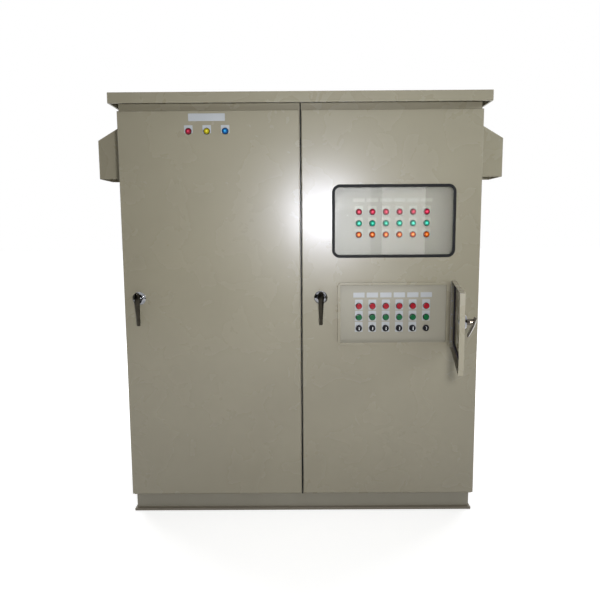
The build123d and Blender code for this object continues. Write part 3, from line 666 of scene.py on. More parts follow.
def end_tree(tree: Tree, shape: Socket, finish: Socket) -> None:
    """End a Geometry Nodes tree: make its copies real and give them their material.

    Args:
        tree: The tree to end.
        shape: Geometry that it has made.
        finish: Material input.
    """
    real = add_node(tree, "GeometryNodeRealizeInstances", {"Geometry": shape})
    dressed = add_node(
        tree, "GeometryNodeSetMaterial", {"Geometry": real.outputs["Geometry"], "Material": finish}
    )
    add_node(tree, "NodeGroupOutput", {"Geometry": dressed.outputs["Geometry"]})


class Workshop:
    """Holds the Geometry Nodes trees that lay out copies and draw beads round a frame."""

    def __init__(self) -> None:
        """Build both trees."""
        self.grid = self.grid_tree()
        self.bead = self.bead_tree()

    def grid_tree(self) -> Tree:
        """Build the tree that sets copies of a form in columns and rows.

        Returns:
            The tree.
        """
        tree, entry = start_tree(
            "copies_on_grid",
            {
                "Form": "NodeSocketObject",
                "Start": "NodeSocketVector",
                "Columns": "NodeSocketInt",
                "Column Step": "NodeSocketVector",
                "Rows": "NodeSocketInt",
                "Row Step": "NodeSocketVector",
                "Material": "NodeSocketMaterial",
            },
        )
        across = add_node(
            tree,
            "GeometryNodeMeshLine",
            {
                "Count": entry.outputs["Columns"],
                "Start Location": entry.outputs["Start"],
                "Offset": entry.outputs["Column Step"],
            },
            mode="OFFSET",
        )
        along = add_node(
            tree,
            "GeometryNodeMeshLine",
            {"Count": entry.outputs["Rows"], "Offset": entry.outputs["Row Step"]},
            mode="OFFSET",
        )
        spread = add_node(
            tree,
            "GeometryNodeInstanceOnPoints",
            {"Points": across.outputs["Mesh"], "Instance": along.outputs["Mesh"]},
        )
        spots = add_node(tree, "GeometryNodeRealizeInstances", {"Geometry": spread.outputs["Instances"]})
        form = add_node(tree, "GeometryNodeObjectInfo", {"Object": entry.outputs["Form"]})
        copies = add_node(
            tree,
            "GeometryNodeInstanceOnPoints",
            {"Points": spots.outputs["Geometry"], "Instance": form.outputs["Geometry"]},
        )
        end_tree(tree, copies.outputs["Instances"], entry.outputs["Material"])
        return tree

    def bead_tree(self) -> Tree:
        """Build the tree that draws a rounded bead round a frame with rounded corners.

        Returns:
            The tree.
        """
        sizes = ("Width", "Height", "Corner", "Band", "Thickness", "Rounding")
        kinds = {size: "NodeSocketFloat" for size in sizes}
        tree, entry = start_tree("bead_round_frame", {**kinds, "Material": "NodeSocketMaterial"})
        frame = add_node(
            tree,
            "GeometryNodeCurvePrimitiveQuadrilateral",
            {"Width": entry.outputs["Width"], "Height": entry.outputs["Height"]},
        )
        path = add_node(
            tree,
            "GeometryNodeFilletCurve",
            {"Curve": frame.outputs["Curve"], "Count": 10, "Radius": entry.outputs["Corner"]},
            mode="POLY",
        )
        level = add_node(tree, "GeometryNodeSetCurveNormal", {"Curve": path.outputs["Curve"]}, mode="Z_UP")
        section = add_node(
            tree,
            "GeometryNodeCurvePrimitiveQuadrilateral",
            {"Width": entry.outputs["Band"], "Height": entry.outputs["Thickness"]},
        )
        rounded = add_node(
            tree,
            "GeometryNodeFilletCurve",
            {"Curve": section.outputs["Curve"], "Count": 4, "Radius": entry.outputs["Rounding"]},
            mode="POLY",
        )
        drawn = add_node(
            tree,
            "GeometryNodeCurveToMesh",
            {"Curve": level.outputs["Curve"], "Profile Curve": rounded.outputs["Curve"]},
        )
        end_tree(tree, drawn.outputs["Mesh"], entry.outputs["Material"])
        return tree

    def copies(
        self,
        name: str,
        former: Former,
        place: Matrix,
        start: Triple,
        columns: Steps,
        rows: Steps,
        finish: Finish,
    ) -> Mesh:
        """Lay out copies of a form in columns and rows on a face.

        Args:
            name: Name of the mesh.
            former: The form, drawn about the face's origin.
            place: Frame of the face.
            start: Where the first copy goes, in millimetres.
            columns: How many columns, and the step from one to the next.
            rows: How many rows, and the step from one to the next.
            finish: Finish of the copies.

        Returns:
            The copies as one mesh.
        """
        form = bpy.data.objects.new(name + "_form", former.mesh(name + "_form", Matrix.Identity(4)))
        bpy.context.scene.collection.objects.link(form)
        values = {
            "Form": form,
            "Start": Vector(start) * MM,
            "Columns": columns[0],
            "Column Step": Vector(columns[1]) * MM,
            "Rows": rows[0],
            "Row Step": Vector(rows[1]) * MM,
            "Material": finish.material(),
        }
        made = run_tree(name, self.grid, values, place)
        bpy.data.objects.remove(form)
        return made

    def beading(self, name: str, place: Matrix, frame: Triple, section: Triple, finish: Finish) -> Mesh:
        """Draw a bead round a frame on a face.

        Args:
            name: Name of the mesh.
            place: Frame of the face, at the bead's middle.
            frame: Width, height and corner radius of the bead's middle line, in millimetres.
            section: Width, thickness and edge rounding of the bead.
            finish: Finish of the bead.

        Returns:
            The bead as one mesh.
        """
        values = {
            "Width": frame[0] * MM,
            "Height": frame[1] * MM,
            "Corner": frame[2] * MM,
            "Band": section[0] * MM,
            "Thickness": section[1] * MM,
            "Rounding": section[2] * MM,
            "Material": finish.material(),
        }
        return run_tree(name, self.bead, values, place)


@dataclass
class Enclosure:
    """The painted sheet-metal body: its CAD nodes get finishes and the small radius of a folded edge."""

    fold_mm: float = 0.6
    painted: tuple[str, ...] = (
        "left_front_frame",
        "right_front_frame",
        "body_shells",
        "rear_panels",
        "roof_canopy",
        "vent_hoods",
        "left_door",
        "right_door",
        "flap_door",
    )
    folded: tuple[str, ...] = (
        "roof_canopy",
        "vent_hoods",
        "left_door",
        "right_door",
        "flap_door",
        "plinth_frame",
    )
    zinc_plated: tuple[str, ...] = (
        "gland_plates",
        "mounting_plates",
        "mounting_rails",
        "left_lock_set",
        "right_lock_set",
        "left_upper_rod",
        "left_lower_rod",
        "right_upper_rod",
        "right_lower_rod",
    )
    screw_inset_mm: float = 24.0
    screw_rows: int = 6
    front_y_mm: float = -250.0
    joint_width_mm: float = 5.0
    joint_thick_mm: float = 1.5

    def dress(self, nodes: dict[str, Piece]) -> None:
        """Give every node that stays its finish, and soften the folded ones.

        Args:
            nodes: CAD nodes by name.
        """
        coats = {name: PAINT for name in self.painted}
        coats.update({name: ZINC for name in self.zinc_plated})
        coats.update({name: STAINLESS for name in ("flap_hinge_fixed", "flap_hinge_moving")})
        coats.update({name: SPONGE for name in ("left_door_seal", "right_door_seal")})
        coats.update({"plinth_frame": PLINTH_PAINT, "lamp_tray": SHADED_TRAY_PAINT, "operator_tray": LIT_PANEL_PAINT})
        coats["window_pane"] = ACRYLIC
        coats.update({"circuit_breakers": GREY_ABS, "terminal_blocks": GREY_ABS, "wiring_ducts": GREY_ABS})
        coats["contactors"] = BLACK_ABS
        for name, finish in coats.items():
            for slot in nodes[name].material_slots:
                slot.material = finish.material()
            LOG.info("%s: finished in %s", name, finish.name)
        for name in self.folded:
            self.soften(nodes[name])
        # The pane casts no shadow; the lamp tray's darker paint stands in as painted shade.
        nodes["window_pane"].visible_shadow = False

    def soften(self, node: Piece) -> None:
        """Round a folded node's sharp edges with live modifiers.

        Args:
            node: The CAD node.
        """
        weld = node.modifiers.new("closed", "WELD")
        weld.merge_threshold = 0.01 * MM
        edge = node.modifiers.new("folds", "BEVEL")
        edge.width = self.fold_mm * MM
        edge.segments = 2
        edge.limit_method = "ANGLE"
        edge.angle_limit = math.radians(40.0)
        edge.harden_normals = True

    def rear_screws(self, workshop: Workshop) -> None:
        """Set a column of pan-head screws down each side of both rear panels.

        Args:
            workshop: Where the copies are laid out.
        """
        low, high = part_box("rear_panels")
        place = facing((0.0, high.y, 0.0), (0.0, 1.0, 0.0))
        height = (high.z - low.z) / MM
        pitch = (height - 4 * self.screw_inset_mm) / (self.screw_rows - 1)
        half = high.x / MM
        spread = half - 2 * self.screw_inset_mm
        for count, first in enumerate((self.screw_inset_mm - half, self.screw_inset_mm)):
            name = f"rear_screws_{count + 1}"
            mesh = workshop.copies(
                name,
                self.screw(),
                place,
                (first, low.z / MM + 2 * self.screw_inset_mm, 0.0),
                (2, (spread, 0.0, 0.0)),
                (self.screw_rows, (0.0, pitch, 0.0)),
                ZINC,
            )
            set_out(name, mesh, "cabinet")

    def bay_joint(self) -> None:
        """Lay a black rubber strip over the joint between the bays, seen down the gap between the doors:
        painted shade that darkens the seam.
        """
        low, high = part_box("left_front_frame")
        half = self.joint_width_mm / 2
        former = Former()
        former.slab((-half, low.z / MM, 0.02), (half, high.z / MM, self.joint_thick_mm), 0.4)
        mesh = former.mesh("bay_joint", facing((0.0, self.front_y_mm * MM, 0.0)))
        set_out("bay_joint", mesh, "cabinet", [RUBBER])

    def screw(self) -> Former:
        """Form one pan-head screw with its recess."""
        former = Former()
        head = [(0.0, -0.5), (6.0, -0.5), (6.0, 0.8), (5.2, 2.2)]
        recess = [(3.0, 3.0), (2.0, 3.0), (1.2, 1.6), (0.0, 1.6)]
        former.turned(head + recess, 14)
        return former


@dataclass
class LeverHandle:
    """A chrome swing lever: a ridged grip that bends back to its tip, on a waisted neck."""

    reach: float = 45.0
    thick: float = 12.0
    neck_radius: float = 13.0
    shaft_radius: float = 6.0
    tail: float = 122.0
    tip_drop: float = 13.0
    rosette_radius: float = 30.2
    rosette_height: float = 10.2
    grip: tuple[Pair, ...] = (
        (29.9, 3.5),
        (29.2, 7.0),
        (26.5, 9.8),
        (20.0, 12.2),
        (10.0, 13.3),
        (0.0, 13.5),
        (-14.0, 12.8),
        (-34.0, 11.4),
        (-64.0, 9.8),
        (-94.0, 8.4),
        (-114.0, 8.0),
        (-120.0, 7.9),
        (-121.6, 7.2),
    )
    section: tuple[Pair, ...] = (
        (0.0, 1.0),
        (0.42, 0.90),
        (0.80, 0.68),
        (1.0, 0.42),
        (0.94, 0.16),
        (0.62, 0.0),
    )

    def handle(self, former: Former) -> None:
        """Add the grip, lofted from its cross-sections.

        Args:
            former: Form that gets the grip.
        """
        rows = []
        around = list(self.section) + [(-across, out) for across, out in reversed(self.section[1:])]
        for up, half in self.grip:
            drop = self.tip_drop * max(0.0, -up / self.tail) ** 1.25
            depth = self.thick * min(1.0, 0.45 + half / 18.0)
            back = self.reach - self.thick - drop + (self.thick - depth) / 2
            rows.append([former.point(across * half, up, back + out * depth) for across, out in around])
        former.joined(rows)

    def neck(self, former: Former, base: float, shaft_end: float) -> None:
        """Add the waisted neck under the grip and the shaft behind it.

        Args:
            former: Form that gets them.
            base: Height at which the neck starts.
            shaft_end: Height at which the shaft ends, behind the face.
        """
        under = self.reach - self.thick
        waist = self.neck_radius - 1.6
        former.turned(
            [
                (0.0, shaft_end),
                (self.shaft_radius, shaft_end),
                (self.shaft_radius, base),
                (self.neck_radius, base),
                (self.neck_radius, base + 1.5),
                (waist, base + 4.0),
                (waist, under - 5.0),
                (self.neck_radius - 0.3, under + 0.6),
                (self.neck_radius - 2.5, under + 4.0),
                (0.0, under + 4.0),
            ],
            36,
        )

    def rosette(self, former: Former) -> None:
        """Add the conical rosette that the neck stands on.

        Args:
            former: Form that gets the rosette.
        """
        rim = self.rosette_radius
        nose = self.rosette_height
        former.turned(
            [
                (self.shaft_radius + 0.2, 0.02),
                (rim, 0.02),
                (rim, 1.3),
                (rim - 0.7, 2.1),
                (rim - 8.0, nose - 0.9),
                (rim - 9.4, nose),
                (rim - 16.0, nose),
                (self.shaft_radius + 0.2, nose),
            ],
            48,
            ring=True,
        )

    def build(self, side: str, axle: Vector) -> None:
        """Build one door's lever and its fixed rosette.

        Args:
            side: Which door, left or right.
            axle: Where the lever's axis meets the door's face.
        """
        place = facing(axle)
        fixed = Former()
        self.rosette(fixed)
        rosette = fixed.mesh(f"{side}_rosette", place)
        set_out(f"{side}_rosette", rosette, f"{side}_door", [CHROME])
        former = Former()
        self.handle(former)
        self.neck(former, self.rosette_height + 0.1, SHAFT_END_MM)
        lever = f"{side}_lever"
        mesh = former.mesh(lever + "_grip", place)
        piece = set_out(lever + "_grip", mesh, lever, [GRIP_CHROME], [lever], 50.0)
        polish(piece)


def polish(piece: Piece) -> None:
    """Smooth a cast piece with two levels of subdivision.

    Args:
        piece: The piece to smooth.
    """
    smooth = piece.modifiers.new("polished", "SUBSURF")
    smooth.levels = 2
    smooth.render_levels = 2


@dataclass
class FlapFittings:
    """What the open flap carries: its lever and cam, its seal, and the rivets of its piano hinge."""

    lever: LeverHandle = field(default_factory=LeverHandle)
    cam_reach: float = 43.0
    cam_half: float = 7.0
    cam_depth: float = 12.5
    cam_thick: float = 3.0
    nut_radius: float = 9.0
    nut_height: float = 5.0
    seal_inset: float = 42.0
    seal_band: float = 16.0
    seal_thick: float = 7.6
    seal_back: float = 300.0
    return_offset: Pair = (4.9, 3.2)
    rivets: int = 5
    rivet_pitch: float = 62.0
    rivet_radius: float = 3.4

    def build(self, workshop: Workshop, joints: dict[str, Any]) -> None:
        """Build all the flap's fittings at the photograph's opening angle.

        Args:
            workshop: Where repeats and beads are made.
            joints: The frame's joints by name.
        """
        turn = joints["flap_lever_turn"]
        self.build_lever(Vector(turn["pos_m"]), Vector(turn["axis"]), -turn["range_deg"][0])
        hinge = Vector(joints["flap_hinge"]["pos_m"])
        opened = math.radians(-joints["flap_hinge"]["range_deg"][0])
        swing = Matrix.Translation(hinge) @ Matrix.Rotation(opened, 4, "Z") @ Matrix.Translation(-hinge)
        self.build_seal(workshop, swing)
        self.build_rivets(workshop, swing, hinge)

    def build_lever(self, axle: Vector, axis: Vector, turn: float) -> None:
        """Build the lever with its own rosette, and the cam and nut inside.

        Args:
            axle: Where the lever's axis meets the flap's face.
            axis: Direction that the flap's face looks in.
            turn: Degrees by which the lever is turned from upright.
        """
        place = facing(axle, axis, turn)
        former = Former()
        self.lever.handle(former)
        inner = -self.cam_depth - self.cam_thick
        self.lever.neck(former, self.lever.rosette_height, inner - self.nut_height)
        lever = "flap_lever"
        mesh = former.mesh(lever + "_grip", place)
        piece = set_out(lever + "_grip", mesh, lever, [FLAP_CHROME], [lever], 50.0)
        polish(piece)
        fixed = Former()
        self.lever.rosette(fixed)
        set_out("flap_rosette", fixed.mesh("flap_rosette", place), "flap_lever", [CHROME])
        half = self.cam_half
        cam = Former()
        cam.slab((-self.cam_reach, -half, inner), (half, half, -self.cam_depth), 0.6)
        cam.turned(
            [
                (0.0, inner),
                (self.nut_radius, inner),
                (self.nut_radius, inner - self.nut_height + 1.0),
                (self.nut_radius - 1.2, inner - self.nut_height),
                (0.0, inner - self.nut_height),
            ],
            6,
        )
        set_out("flap_cam", cam.mesh("flap_cam", place), "flap_lever", [ZINC])

    def build_seal(self, workshop: Workshop, swing: Matrix) -> None:
        """Draw the flap's rubber seal as one bead that closes on the rim.

        Args:
            workshop: Where the bead is made.
            swing: Turn from shut to open.
        """
        low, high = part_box("operator_tray")
        middle = (low + high) / 2
        middle.y = (self.seal_thick / 2 - self.seal_back) * MM
        size = (high - low) / MM
        mesh = workshop.beading(
            "flap_seal_bead",
            swing @ facing(middle),
            (size.x - self.seal_inset, size.z - self.seal_inset, 14.0),
            (self.seal_band, self.seal_thick, 3.0),
            SPONGE,
        )
        set_out("flap_seal_bead", mesh, "flap", stands_for=["flap_seal"], crease=50.0)

    def build_rivets(self, workshop: Workshop, swing: Matrix, hinge: Vector) -> None:
        """Set the rivet heads that hold the hinge to the flap's return.

        Args:
            workshop: Where the copies are laid out.
            swing: Turn from shut to open.
            hinge: A point on the hinge pin.
        """
        low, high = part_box("flap_door")
        across, behind = self.return_offset
        spot = (hinge.x - across * MM, hinge.y - behind * MM, (low.z + high.z) / 2)
        former = Former()
        radius = self.rivet_radius
        dome = [(radius * 0.9, 0.7), (radius * 0.5, 1.2), (0.0, 1.3)]
        former.turned([(0.0, -0.4), (radius, -0.4), *dome], 14)
        mesh = workshop.copies(
            "hinge_rivets",
            former,
            swing @ facing(spot, (-1.0, 0.0, 0.0)),
            (0.0, -self.rivet_pitch * (self.rivets - 1) / 2, 0.0),
            ONE,
            (self.rivets, (0.0, self.rivet_pitch, 0.0)),
            ZINC,
        )
        set_out("hinge_rivets", mesh, "flap")


@dataclass
class PilotLamps:
    """Pilot lamps: a dark bezel and holder, a cut lens, and a blank legend plate round each."""

    rim: float = 14.5
    lens_radius: float = 13.6
    crown_share: float = 0.80
    core_share: float = 0.34
    height: float = 12.0
    holder_half: float = 11.0
    plate: Pair = (37.0, 34.0)
    plate_rise: float = 9.0
    nameplate: tuple[Pair, Pair] = ((-408.5, 1811.0), (160.0, 32.0))
    label: Pair = (52.0, 16.0)
    label_rise: float = 52.0

    def bezel(self, holder_depth: Pair) -> Former:
        """Form the bezel ring, with the holder behind the panel.

        Args:
            holder_depth: Where the holder ends and starts, behind the face.

        Returns:
            The form, about the lamp's own axis.
        """
        former = Former()
        former.turned(
            [
                (self.lens_radius - 1.4, 0.05),
                (self.rim, 0.05),
                (self.rim, 3.2),
                (self.rim - 0.8, 4.2),
                (self.lens_radius + 0.3, 4.4),
                (self.lens_radius - 0.1, 3.2),
                (self.lens_radius - 1.4, 3.0),
            ],
            28,
            ring=True,
        )
        half = self.holder_half
        former.slab((-half, -half, holder_depth[0]), (half, half, holder_depth[1]), 1.2)
        return former

    def crown(self) -> Former:
        """Form the lens's crown of twisted facets.

        Returns:
            The form, about the lamp's own axis.
        """
        former = Former()
        radius = self.lens_radius * self.crown_share
        core = self.lens_radius * self.core_share
        former.turned(
            [
                (core, 6.0),
                (radius, 6.0),
                (radius, 8.4),
                (radius * 0.74, 10.4),
                (core, self.height - 0.5),
            ],
            14,
            twist=0.5,
            ring=True,
        )
        return former

    def core(self) -> Former:
        """Form the middle of the crown, which carries the painted highlight.

        Returns:
            The form, about the lamp's own axis.
        """
        former = Former()
        radius = self.lens_radius * self.core_share
        former.turned([(0.0, 6.0), (radius, 6.0), (radius, self.height - 0.5), (0.0, self.height)], 14)
        return former

    def skirt(self) -> Former:
        """Form the lens's skirt, a ring round the crown that carries the painted shade of the lens's rim.

        Returns:
            The form, about the lamp's own axis.
        """
        former = Former()
        radius = self.lens_radius
        inner = radius * self.crown_share
        former.turned(
            [
                (inner - 0.6, 1.0),
                (radius - 0.2, 1.0),
                (radius - 0.2, 3.2),
                (radius - 0.7, 6.4),
                (inner + 0.2, 8.3),
                (inner - 0.6, 8.2),
            ],
            28,
            ring=True,
        )
        return former

    def plates(self, thick: float = 0.8) -> Former:
        """Form one blank legend plate."""
        former = Former()
        former.plate((0.0, self.plate_rise), self.plate, (0.02, thick), 2.0)
        return former

    def window_field(self, workshop: Workshop) -> None:
        """Build the three rows of lamps behind the window.

        Args:
            workshop: Where the copies are laid out.
        """
        rows = (("red_lamps", Tint.RED), ("green_lamps", Tint.GREEN), ("amber_lamps", Tint.AMBER))
        low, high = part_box("amber_lamps")
        top_low, top_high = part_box("red_lamps")
        place = facing((0.0, low.y + self.height * MM, 0.0))
        first = low.x / MM + self.rim
        pitch = ((high.x - low.x) / MM - 2 * self.rim) / 5
        base = (low.z + high.z) / 2 / MM
        rise = ((top_low.z + top_high.z) / 2 / MM - base) / 2
        columns = (6, (pitch, 0.0, 0.0))
        stack = (3, (0.0, rise, 0.0))
        bezels = workshop.copies(
            "lamp_bezels", self.bezel(HOLDER_DEPTHS), place, (first, base, 0.0), columns, stack, BLACK_ABS
        )
        set_out("lamp_bezels", bezels, "right_door")
        plates = workshop.copies(
            "lamp_legends", self.plates(), place, (first, base, 0.0), columns, stack, SMOKED_LAMINATE
        )
        set_out("lamp_legends", plates, "right_door")
        for count, (node, tint) in enumerate(reversed(rows)):
            spot = (first, base + count * rise, 0.0)
            mesh = workshop.copies(node + "_crowns", self.crown(), place, spot, columns, ONE, tint.lens())
            set_out(node + "_crowns", mesh, "right_door", stands_for=[node], crease=12.0)
            mesh = workshop.copies(node + "_skirts", self.skirt(), place, spot, columns, ONE, tint.skirt())
            set_out(node + "_skirts", mesh, "right_door")
            mesh = workshop.copies(node + "_cores", self.core(), place, spot, columns, ONE, tint.core())
            set_out(node + "_cores", mesh, "right_door")
        strip = Former()
        strip.plate((0.0, 0.0), self.label, (0.02, 0.8), 1.5)
        spot = (first, base + 2 * rise + self.label_rise, 0.0)
        mesh = workshop.copies("lamp_labels", strip, place, spot, columns, ONE, SMOKED_LAMINATE)
        set_out("lamp_labels", mesh, "right_door")

    def phase_lamps(self, workshop: Workshop) -> None:
        """Build the three phase lamps at the top of the left-hand door.

        Args:
            workshop: Where the copies are laid out.
        """
        tints = {"phase_lamp_red": Tint.RED, "phase_lamp_yellow": Tint.YELLOW, "phase_lamp_blue": Tint.BLUE}
        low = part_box("phase_lamp_red")[0]
        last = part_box("phase_lamp_blue")[0]
        place = facing((0.0, low.y + self.height * MM, 0.0))
        start = (low.x / MM + self.rim, low.z / MM + self.rim, 0.0)
        columns = (3, ((last.x - low.x) / MM / 2, 0.0, 0.0))
        bezels = workshop.copies(
            "phase_bezels", self.bezel(HOLDER_DEPTHS), place, start, columns, ONE, BLACK_ABS
        )
        set_out("phase_bezels", bezels, "left_door")
        plates = workshop.copies("phase_legends", self.plates(), place, start, columns, ONE, LAMINATE)
        set_out("phase_legends", plates, "left_door")
        for node, tint in tints.items():
            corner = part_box(node)[0]
            spot = facing((corner.x + self.rim * MM, low.y + self.height * MM, corner.z + self.rim * MM))
            mesh = self.crown().mesh(node + "_crown", spot)
            set_out(node + "_crown", mesh, "left_door", [tint.lens()], [node], 12.0)
            mesh = self.skirt().mesh(node + "_skirt", spot)
            set_out(node + "_skirt", mesh, "left_door", [tint.skirt()])
            mesh = self.core().mesh(node + "_core", spot)
            set_out(node + "_core", mesh, "left_door", [tint.core()])
        plate = Former()
        plate.plate(*self.nameplate, (0.02, 1.0), 3.0)
        set_out("nameplate", plate.mesh("nameplate", place), "left_door", [LAMINATE])


@dataclass
class OperatorField:
    """The push-buttons and selector switches behind the flap, with their blank legends and labels."""

    face_y: float = -268.0
    rim: float = 15.0
    bore: float = 11.08
    bezel_height: float = 10.0
    cap_radius: float = 11.0
    head_radius: float = 12.8
    head_thick: float = 2.4
    step_height: float = 6.3
    block: Triple = (14.0, 19.0, 36.0)
    grip_half: float = 4.0
    legend: Pair = (35.0, 46.0)
    legend_rise: float = 6.0
    label: Pair = (51.0, 22.0)
    label_z: float = 1025.5
    kinds: tuple[tuple[str, Tint], ...] = (("red_button", Tint.CAP_RED), ("green_button", Tint.CAP_GREEN))

    def build(self, workshop: Workshop) -> None:
        """Build the fixed bezels, plates and labels, then every button and knob.

        Args:
            workshop: Where the copies are laid out.
        """
        place = facing((0.0, self.face_y * MM, 0.0))
        first_low, first_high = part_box("selector_knob_1")
        next_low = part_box("selector_knob_2")[0]
        above_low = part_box("green_button_1")[0]
        start = ((first_low.x + first_high.x) / 2 / MM, (first_low.z + first_high.z) / 2 / MM, 0.0)
        pitch = (next_low.x - first_low.x) / MM
        rise = (above_low.z - first_low.z) / MM
        columns = (6, (pitch, 0.0, 0.0))
        bezels = workshop.copies(
            "operator_bezels", self.bezel(), place, start, columns, (3, (0.0, rise, 0.0)), BLACK_ABS
        )
        set_out("operator_bezels", bezels, "right_door", stands_for=["operator_bodies"])
        upper = (start[0], start[1] + rise, 0.0)
        mesh = workshop.copies(
            "button_legends", self.plate(), place, upper, columns, (2, (0.0, rise, 0.0)), LAMINATE
        )
        set_out("button_legends", mesh, "right_door")
        mesh = workshop.copies(
            "selector_legends", self.plate(), place, start, (5, columns[1]), ONE, LAMINATE
        )
        set_out("selector_legends", mesh, "right_door")
        strip = Former()
        strip.plate((0.0, 0.0), self.label, (0.02, 1.0), 1.5)
        spot = (start[0], self.label_z, 0.0)
        mesh = workshop.copies("channel_labels", strip, place, spot, columns, ONE, LAMINATE)
        set_out("channel_labels", mesh, "right_door")
        for number in range(1, 7):
            for kind, tint in self.kinds:
                self.cap(f"{kind}_{number}", tint)
            self.knob(f"selector_knob_{number}")

    def bezel(self) -> Former:
        """Form a bezel ring and the contact block behind the panel.

        Returns:
            The form, about the operator's own axis.
        """
        former = Former()
        top = self.bezel_height
        former.turned(
            [
                (self.bore, 0.05),
                (self.rim, 0.05),
                (self.rim, 4.0),
                (self.rim - 0.3, 7.0),
                (self.rim - 0.8, top - 0.4),
                (self.rim - 1.3, top),
                (self.head_radius + 0.4, top),
                (self.head_radius + 0.2, top - 0.3),
                (self.head_radius + 0.2, self.step_height),
                (self.bore, self.step_height),
            ],
            28,
            ring=True,
        )
        half, tall, deep = self.block
        former.slab((-half, -tall, -2.02 - deep), (half, tall, -2.02), 1.0)
        return former

    def plate(self) -> Former:
        """Form one blank legend plate."""
        former = Former()
        former.plate((0.0, self.legend_rise), self.legend, (0.02, 0.8), 2.0)
        return former

    def cap(self, name: str, tint: Tint) -> None:
        """Build one push-button's dished cap.

        Args:
            name: The button's node and body.
            tint: Its colour.
        """
        low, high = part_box(name)
        place = facing(((low.x + high.x) / 2, high.y, (low.z + high.z) / 2))
        front = (high.y - low.y) / MM
        stem = self.cap_radius - 0.1
        rim = self.head_radius
        former = Former()
        former.turned(
            [
                (0.0, 0.0),
                (stem, 0.0),
                (stem, front - self.head_thick),
                (rim, front - self.head_thick),
                (rim, front - 0.9),
                (rim - 0.5, front - 0.25),
                (rim - 1.5, front),
                (rim - 3.0, front - 0.15),
                (rim * 0.35, front - 0.55),
                (0.0, front - 0.6),
            ],
            32,
        )
        set_out(name + "_cap", former.mesh(name + "_cap", place), name, [tint.cap()], [name])

    def knob(self, name: str) -> None:
        """Build one selector: a disc, a grip across it and a white pointer line.

        Args:
            name: The selector's node and body.
        """
        low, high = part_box(name)
        place = facing(((low.x + high.x) / 2, high.y, (low.z + high.z) / 2))
        front = (high.y - low.y) / MM
        disc = front - 12.0
        rim = self.cap_radius
        former = Former()
        former.turned(
            [
                (0.0, 0.0),
                (rim - 0.1, 0.0),
                (rim - 0.1, disc - self.head_thick),
                (self.head_radius, disc - self.head_thick),
                (self.head_radius, disc - 0.6),
                (self.head_radius - 0.7, disc),
                (0.0, disc),
            ],
            32,
        )
        half = self.grip_half
        former.slab((-half, 1.0 - rim, disc - 1.0), (half, rim - 1.0, front - 0.3), 1.6, 3)
        former.finish = 1
        former.slab((-1.6, -6.0, front - 1.0), (1.6, rim - 2.4, front), 0.2, 1)
        mesh = former.mesh(name + "_grip", place)
        set_out(name + "_grip", mesh, name, [BLACK_ABS, WHITE_ABS], [name])


